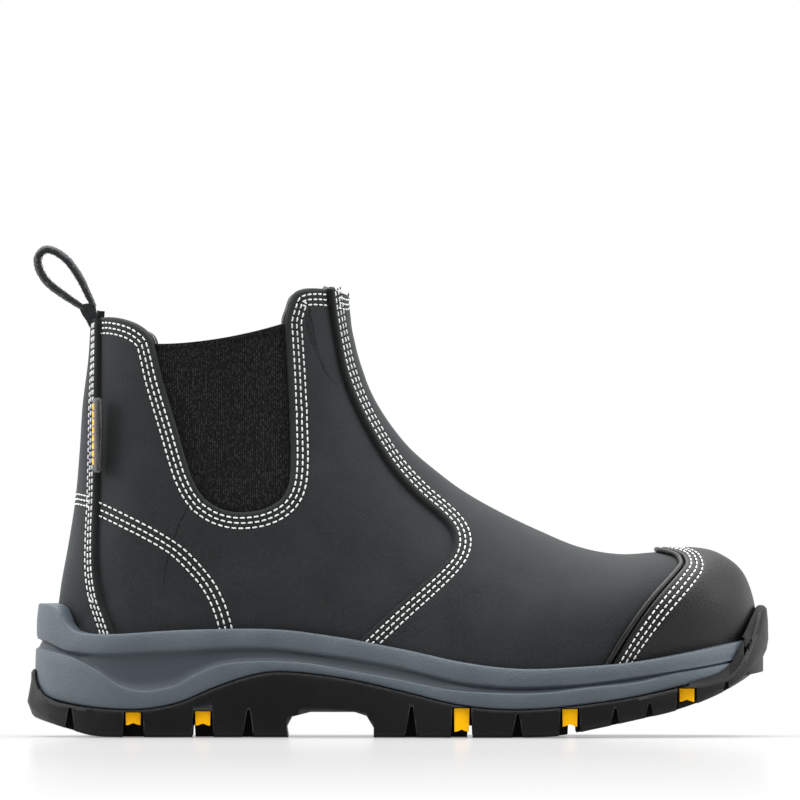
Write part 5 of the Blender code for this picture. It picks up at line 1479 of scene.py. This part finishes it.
def make_side_tag():
    """The folded tag in the seam, with plain yellow bars woven along its fold."""
    node = frame["nodes"]["side_tag"]
    mesh = node.data.copy()
    obj = bpy.data.objects.new("side_tag_tape", mesh)
    bpy.context.scene.collection.objects.link(obj)
    mesh.materials.clear()
    mesh.materials.append(LOOKS["tag"])
    weld = bmesh.new()
    weld.from_mesh(mesh)
    bmesh.ops.remove_doubles(weld, verts=weld.verts, dist=0.00001)
    bmesh.ops.bevel(weld, geom=list(weld.edges), offset=0.6 * MM, segments=3, affect="EDGES",
                    clamp_overlap=True)
    weld.to_mesh(mesh)
    weld.free()
    mesh.shade_smooth()
    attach(obj, "tag")
    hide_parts("side_tag")

    face = max(node.data.polygons, key=lambda f: -f.normal.y * f.area)
    out = np.array(face.normal)
    along = np.array([-out[1], out[0], 0]) / math.hypot(out[0], out[1])
    corners = np.array([v.co[:] for v in node.data.vertices])
    level = (corners @ out).max()
    root = (corners[corners @ out > level - 0.0002] @ along).min()
    points, faces = [], []
    for i in range(TAG_BARS):
        z = (TAG_Z[0] + 3.2 + TAG_BAR_PITCH * i) * MM
        for u in (TAG_BAR_START, TAG_BAR_START + TAG_BAR_WIDTH):
            for rise, dz in ((-0.3, 0), (0.14, 0), (0.14, TAG_BAR_HEIGHT), (-0.3, TAG_BAR_HEIGHT)):
                at = along * (root + u * MM) + out * (level + rise * MM)
                points.append(((np.array([at[0], at[1], z + dz * MM])) / MM - CENTRE_SHIFT).tolist())
        a = 8 * i
        faces += [(a, a + 1, a + 2, a + 3), (a + 7, a + 6, a + 5, a + 4)]
        faces += [(a + j, a + 4 + j, a + 4 + (j + 1) % 4, a + (j + 1) % 4) for j in range(4)]
    bars = new_object("side_tag_bars", points, faces, [LOOKS["print"]], "tag", join=False)
    round_edges(bars, 0.12)


# ---------------------------------------------------------------- kept CAD nodes


def dress_cad_nodes():
    """Procedural materials and rounded edges for the CAD nodes that are shown as they are."""
    dress = {"steel_toe_cap": "steel", "puncture_plate": "steel", "insole_board": "board",
             "heel_counter": "board", "toe_cap_edge_strip": "lining"}
    for side in SIDES:
        for i in range(len(CHANNELS)):
            dress[f"tread_insert_{side}_{i + 1}"] = "insert"
    for name, look in dress.items():
        node = frame["nodes"][name]
        for slot in node.material_slots:
            slot.material = LOOKS[look]
        if look == "insert":
            round_edges(node, 0.5)


# ---------------------------------------------------------------- studio


def make_studio():
    world = bpy.data.worlds.new("studio")
    bpy.context.scene.world = world
    world.use_nodes = True
    tree = world.node_tree
    background = tree.nodes["Background"]
    place = tree.nodes.new("ShaderNodeTexCoord")
    split = tree.nodes.new("ShaderNodeSeparateXYZ")
    tree.links.new(place.outputs["Generated"], split.inputs[0])

    def strength(axis, low, high, start, end, mirrored=False):
        """Light that grows from start to end as the direction turns towards one axis."""
        value = split.outputs[axis]
        if mirrored:
            whole = tree.nodes.new("ShaderNodeMath")
            whole.operation = "ABSOLUTE"
            tree.links.new(value, whole.inputs[0])
            value = whole.outputs[0]
        ramp = tree.nodes.new("ShaderNodeMapRange")
        ramp.interpolation_type = "SMOOTHSTEP"
        tree.links.new(value, ramp.inputs["Value"])
        for key, number in (("From Min", low), ("From Max", high), ("To Min", start), ("To Max", end)):
            ramp.inputs[key].default_value = number
        return ramp.outputs[0]

    def joined(operation, first, second):
        both = tree.nodes.new("ShaderNodeMath")
        both.operation = operation
        tree.links.new(first, both.inputs[0])
        tree.links.new(second, both.inputs[1])
        return both.outputs[0]

    from_above = strength(2, 0.50, 0.97, SKY_BASE, SKY_TOP)
    from_sides = strength(0, 0.45, 0.95, 0.0, SKY_SIDES, mirrored=True)
    from_behind = strength(1, 0.20, 0.95, 0.0, SKY_BEHIND)
    sky = joined("ADD", from_above, joined("ADD", from_sides, from_behind))
    horizon = strength(2, 0.03, 0.05, 1.0, 0.0, mirrored=True)
    background.inputs["Color"].default_value = (1, 1, 1, 1)
    tree.links.new(joined("MAXIMUM", sky, horizon), background.inputs["Strength"])

    floor = bpy.data.meshes.new("floor")
    size = 60.0
    corners = [(-size, -size, 0), (size, -size, 0), (size, size, 0), (-size, size, 0)]
    floor.from_pydata(corners, [], [(0, 1, 2, 3)])
    obj = bpy.data.objects.new("floor", floor)
    obj.location.z = -0.0002
    bpy.context.scene.collection.objects.link(obj)
    material = bpy.data.materials.new("studio_floor")
    material.use_nodes = True
    nodes, links = material.node_tree.nodes, material.node_tree.links
    nodes.remove(nodes["Principled BSDF"])
    kinds = ("BsdfDiffuse", "BsdfGlossy", "Emission", "AddShader", "MixShader")
    matt, gloss, glow, lit, mix = (nodes.new(f"ShaderNode{kind}") for kind in kinds)
    matt.inputs["Color"].default_value = (*[FLOOR_MATT] * 3, 1)
    glow.inputs["Strength"].default_value = FLOOR_GLOW
    gloss.inputs["Roughness"].default_value = 0.12
    mix.inputs["Fac"].default_value = FLOOR_MIRROR
    links.new(matt.outputs[0], lit.inputs[0])
    links.new(glow.outputs[0], lit.inputs[1])
    links.new(lit.outputs[0], mix.inputs[1])
    links.new(gloss.outputs[0], mix.inputs[2])
    place = nodes.new("ShaderNodeTexCoord").outputs["Object"]
    split = nodes.new("ShaderNodeSeparateXYZ")
    links.new(place, split.inputs[0])
    shares = []
    for low, high, start, end in ((-1.6, -0.5, 0.0, 1.0), (0.2, 1.5, 1.0, 0.0)):
        ramp = nodes.new("ShaderNodeMapRange")
        links.new(split.outputs[1], ramp.inputs["Value"])
        for key, number in (("From Min", low), ("From Max", high), ("To Min", start), ("To Max", end)):
            ramp.inputs[key].default_value = number
        shares.append(ramp.outputs[0])
    near = nodes.new("ShaderNodeMath")
    near.operation = "MINIMUM"
    links.new(shares[0], near.inputs[0])
    links.new(shares[1], near.inputs[1])
    white, fade = nodes.new("ShaderNodeEmission"), nodes.new("ShaderNodeMixShader")
    links.new(near.outputs[0], fade.inputs["Fac"])
    links.new(white.outputs[0], fade.inputs[1])
    links.new(mix.outputs[0], fade.inputs[2])
    links.new(fade.outputs[0], nodes["Material Output"].inputs["Surface"])
    floor.materials.append(material)

    for name, place, size, power in (
        ("overhead", (0.05, 0.05, 1.6), (1.6, 0.8), 14.0),
        ("heel_side", (-1.7, -0.25, 0.7), (0.7, 0.9), 13.0),
        ("toe_side", (1.7, -0.2, 0.8), (0.7, 0.9), 8.0),
    ):
        lamp = bpy.data.lights.new(name, "AREA")
        lamp.shape = "RECTANGLE"
        lamp.size, lamp.size_y = size
        lamp.energy = power
        light = bpy.data.objects.new(name, lamp)
        light.location = place
        light.rotation_euler = (-light.location).to_track_quat("-Z", "Y").to_euler()
        bpy.context.scene.collection.objects.link(light)


def make_camera():
    """A long lens, level with the middle of the view and square on to the boot's outer side."""
    camera = bpy.data.cameras.new("camera")
    obj = bpy.data.objects.new("camera", camera)
    bpy.context.scene.collection.objects.link(obj)
    camera.sensor_width = 36.0
    camera.lens = camera.sensor_width * CAMERA_AWAY / VIEW_WIDTH
    camera.clip_end = 200.0
    obj.location = (CENTRE_SHIFT[0] * MM, -CAMERA_AWAY, CAMERA_HEIGHT)
    obj.rotation_euler = (math.pi / 2, 0, 0)
    bpy.context.scene.camera = obj


SKY_BASE, SKY_TOP, SKY_SIDES, SKY_BEHIND = 0.05, 5.0, 1.6, 0.9
FLOOR_MATT, FLOOR_GLOW, FLOOR_MIRROR = 0.22, 0.42, 0.34
CAMERA_AWAY = 10.0
CAMERA_HEIGHT = 0.1411
VIEW_WIDTH = 0.336

scene = bpy.context.scene
for old in list(bpy.data.objects):
    if old.name in ("Cube", "Light", "Camera"):
        bpy.data.objects.remove(old)
scene.view_settings.view_transform = "Standard"
make_camera()
make_studio()
LOOKS = make_looks()
make_vamp()
make_quarters()
make_backstay()
make_gores()
make_scuff_cap()
make_linings()
make_midsole()
make_outsole()
make_footbed()
make_pull_loop()
make_loop_stub()
make_side_tag()
dress_cad_nodes()
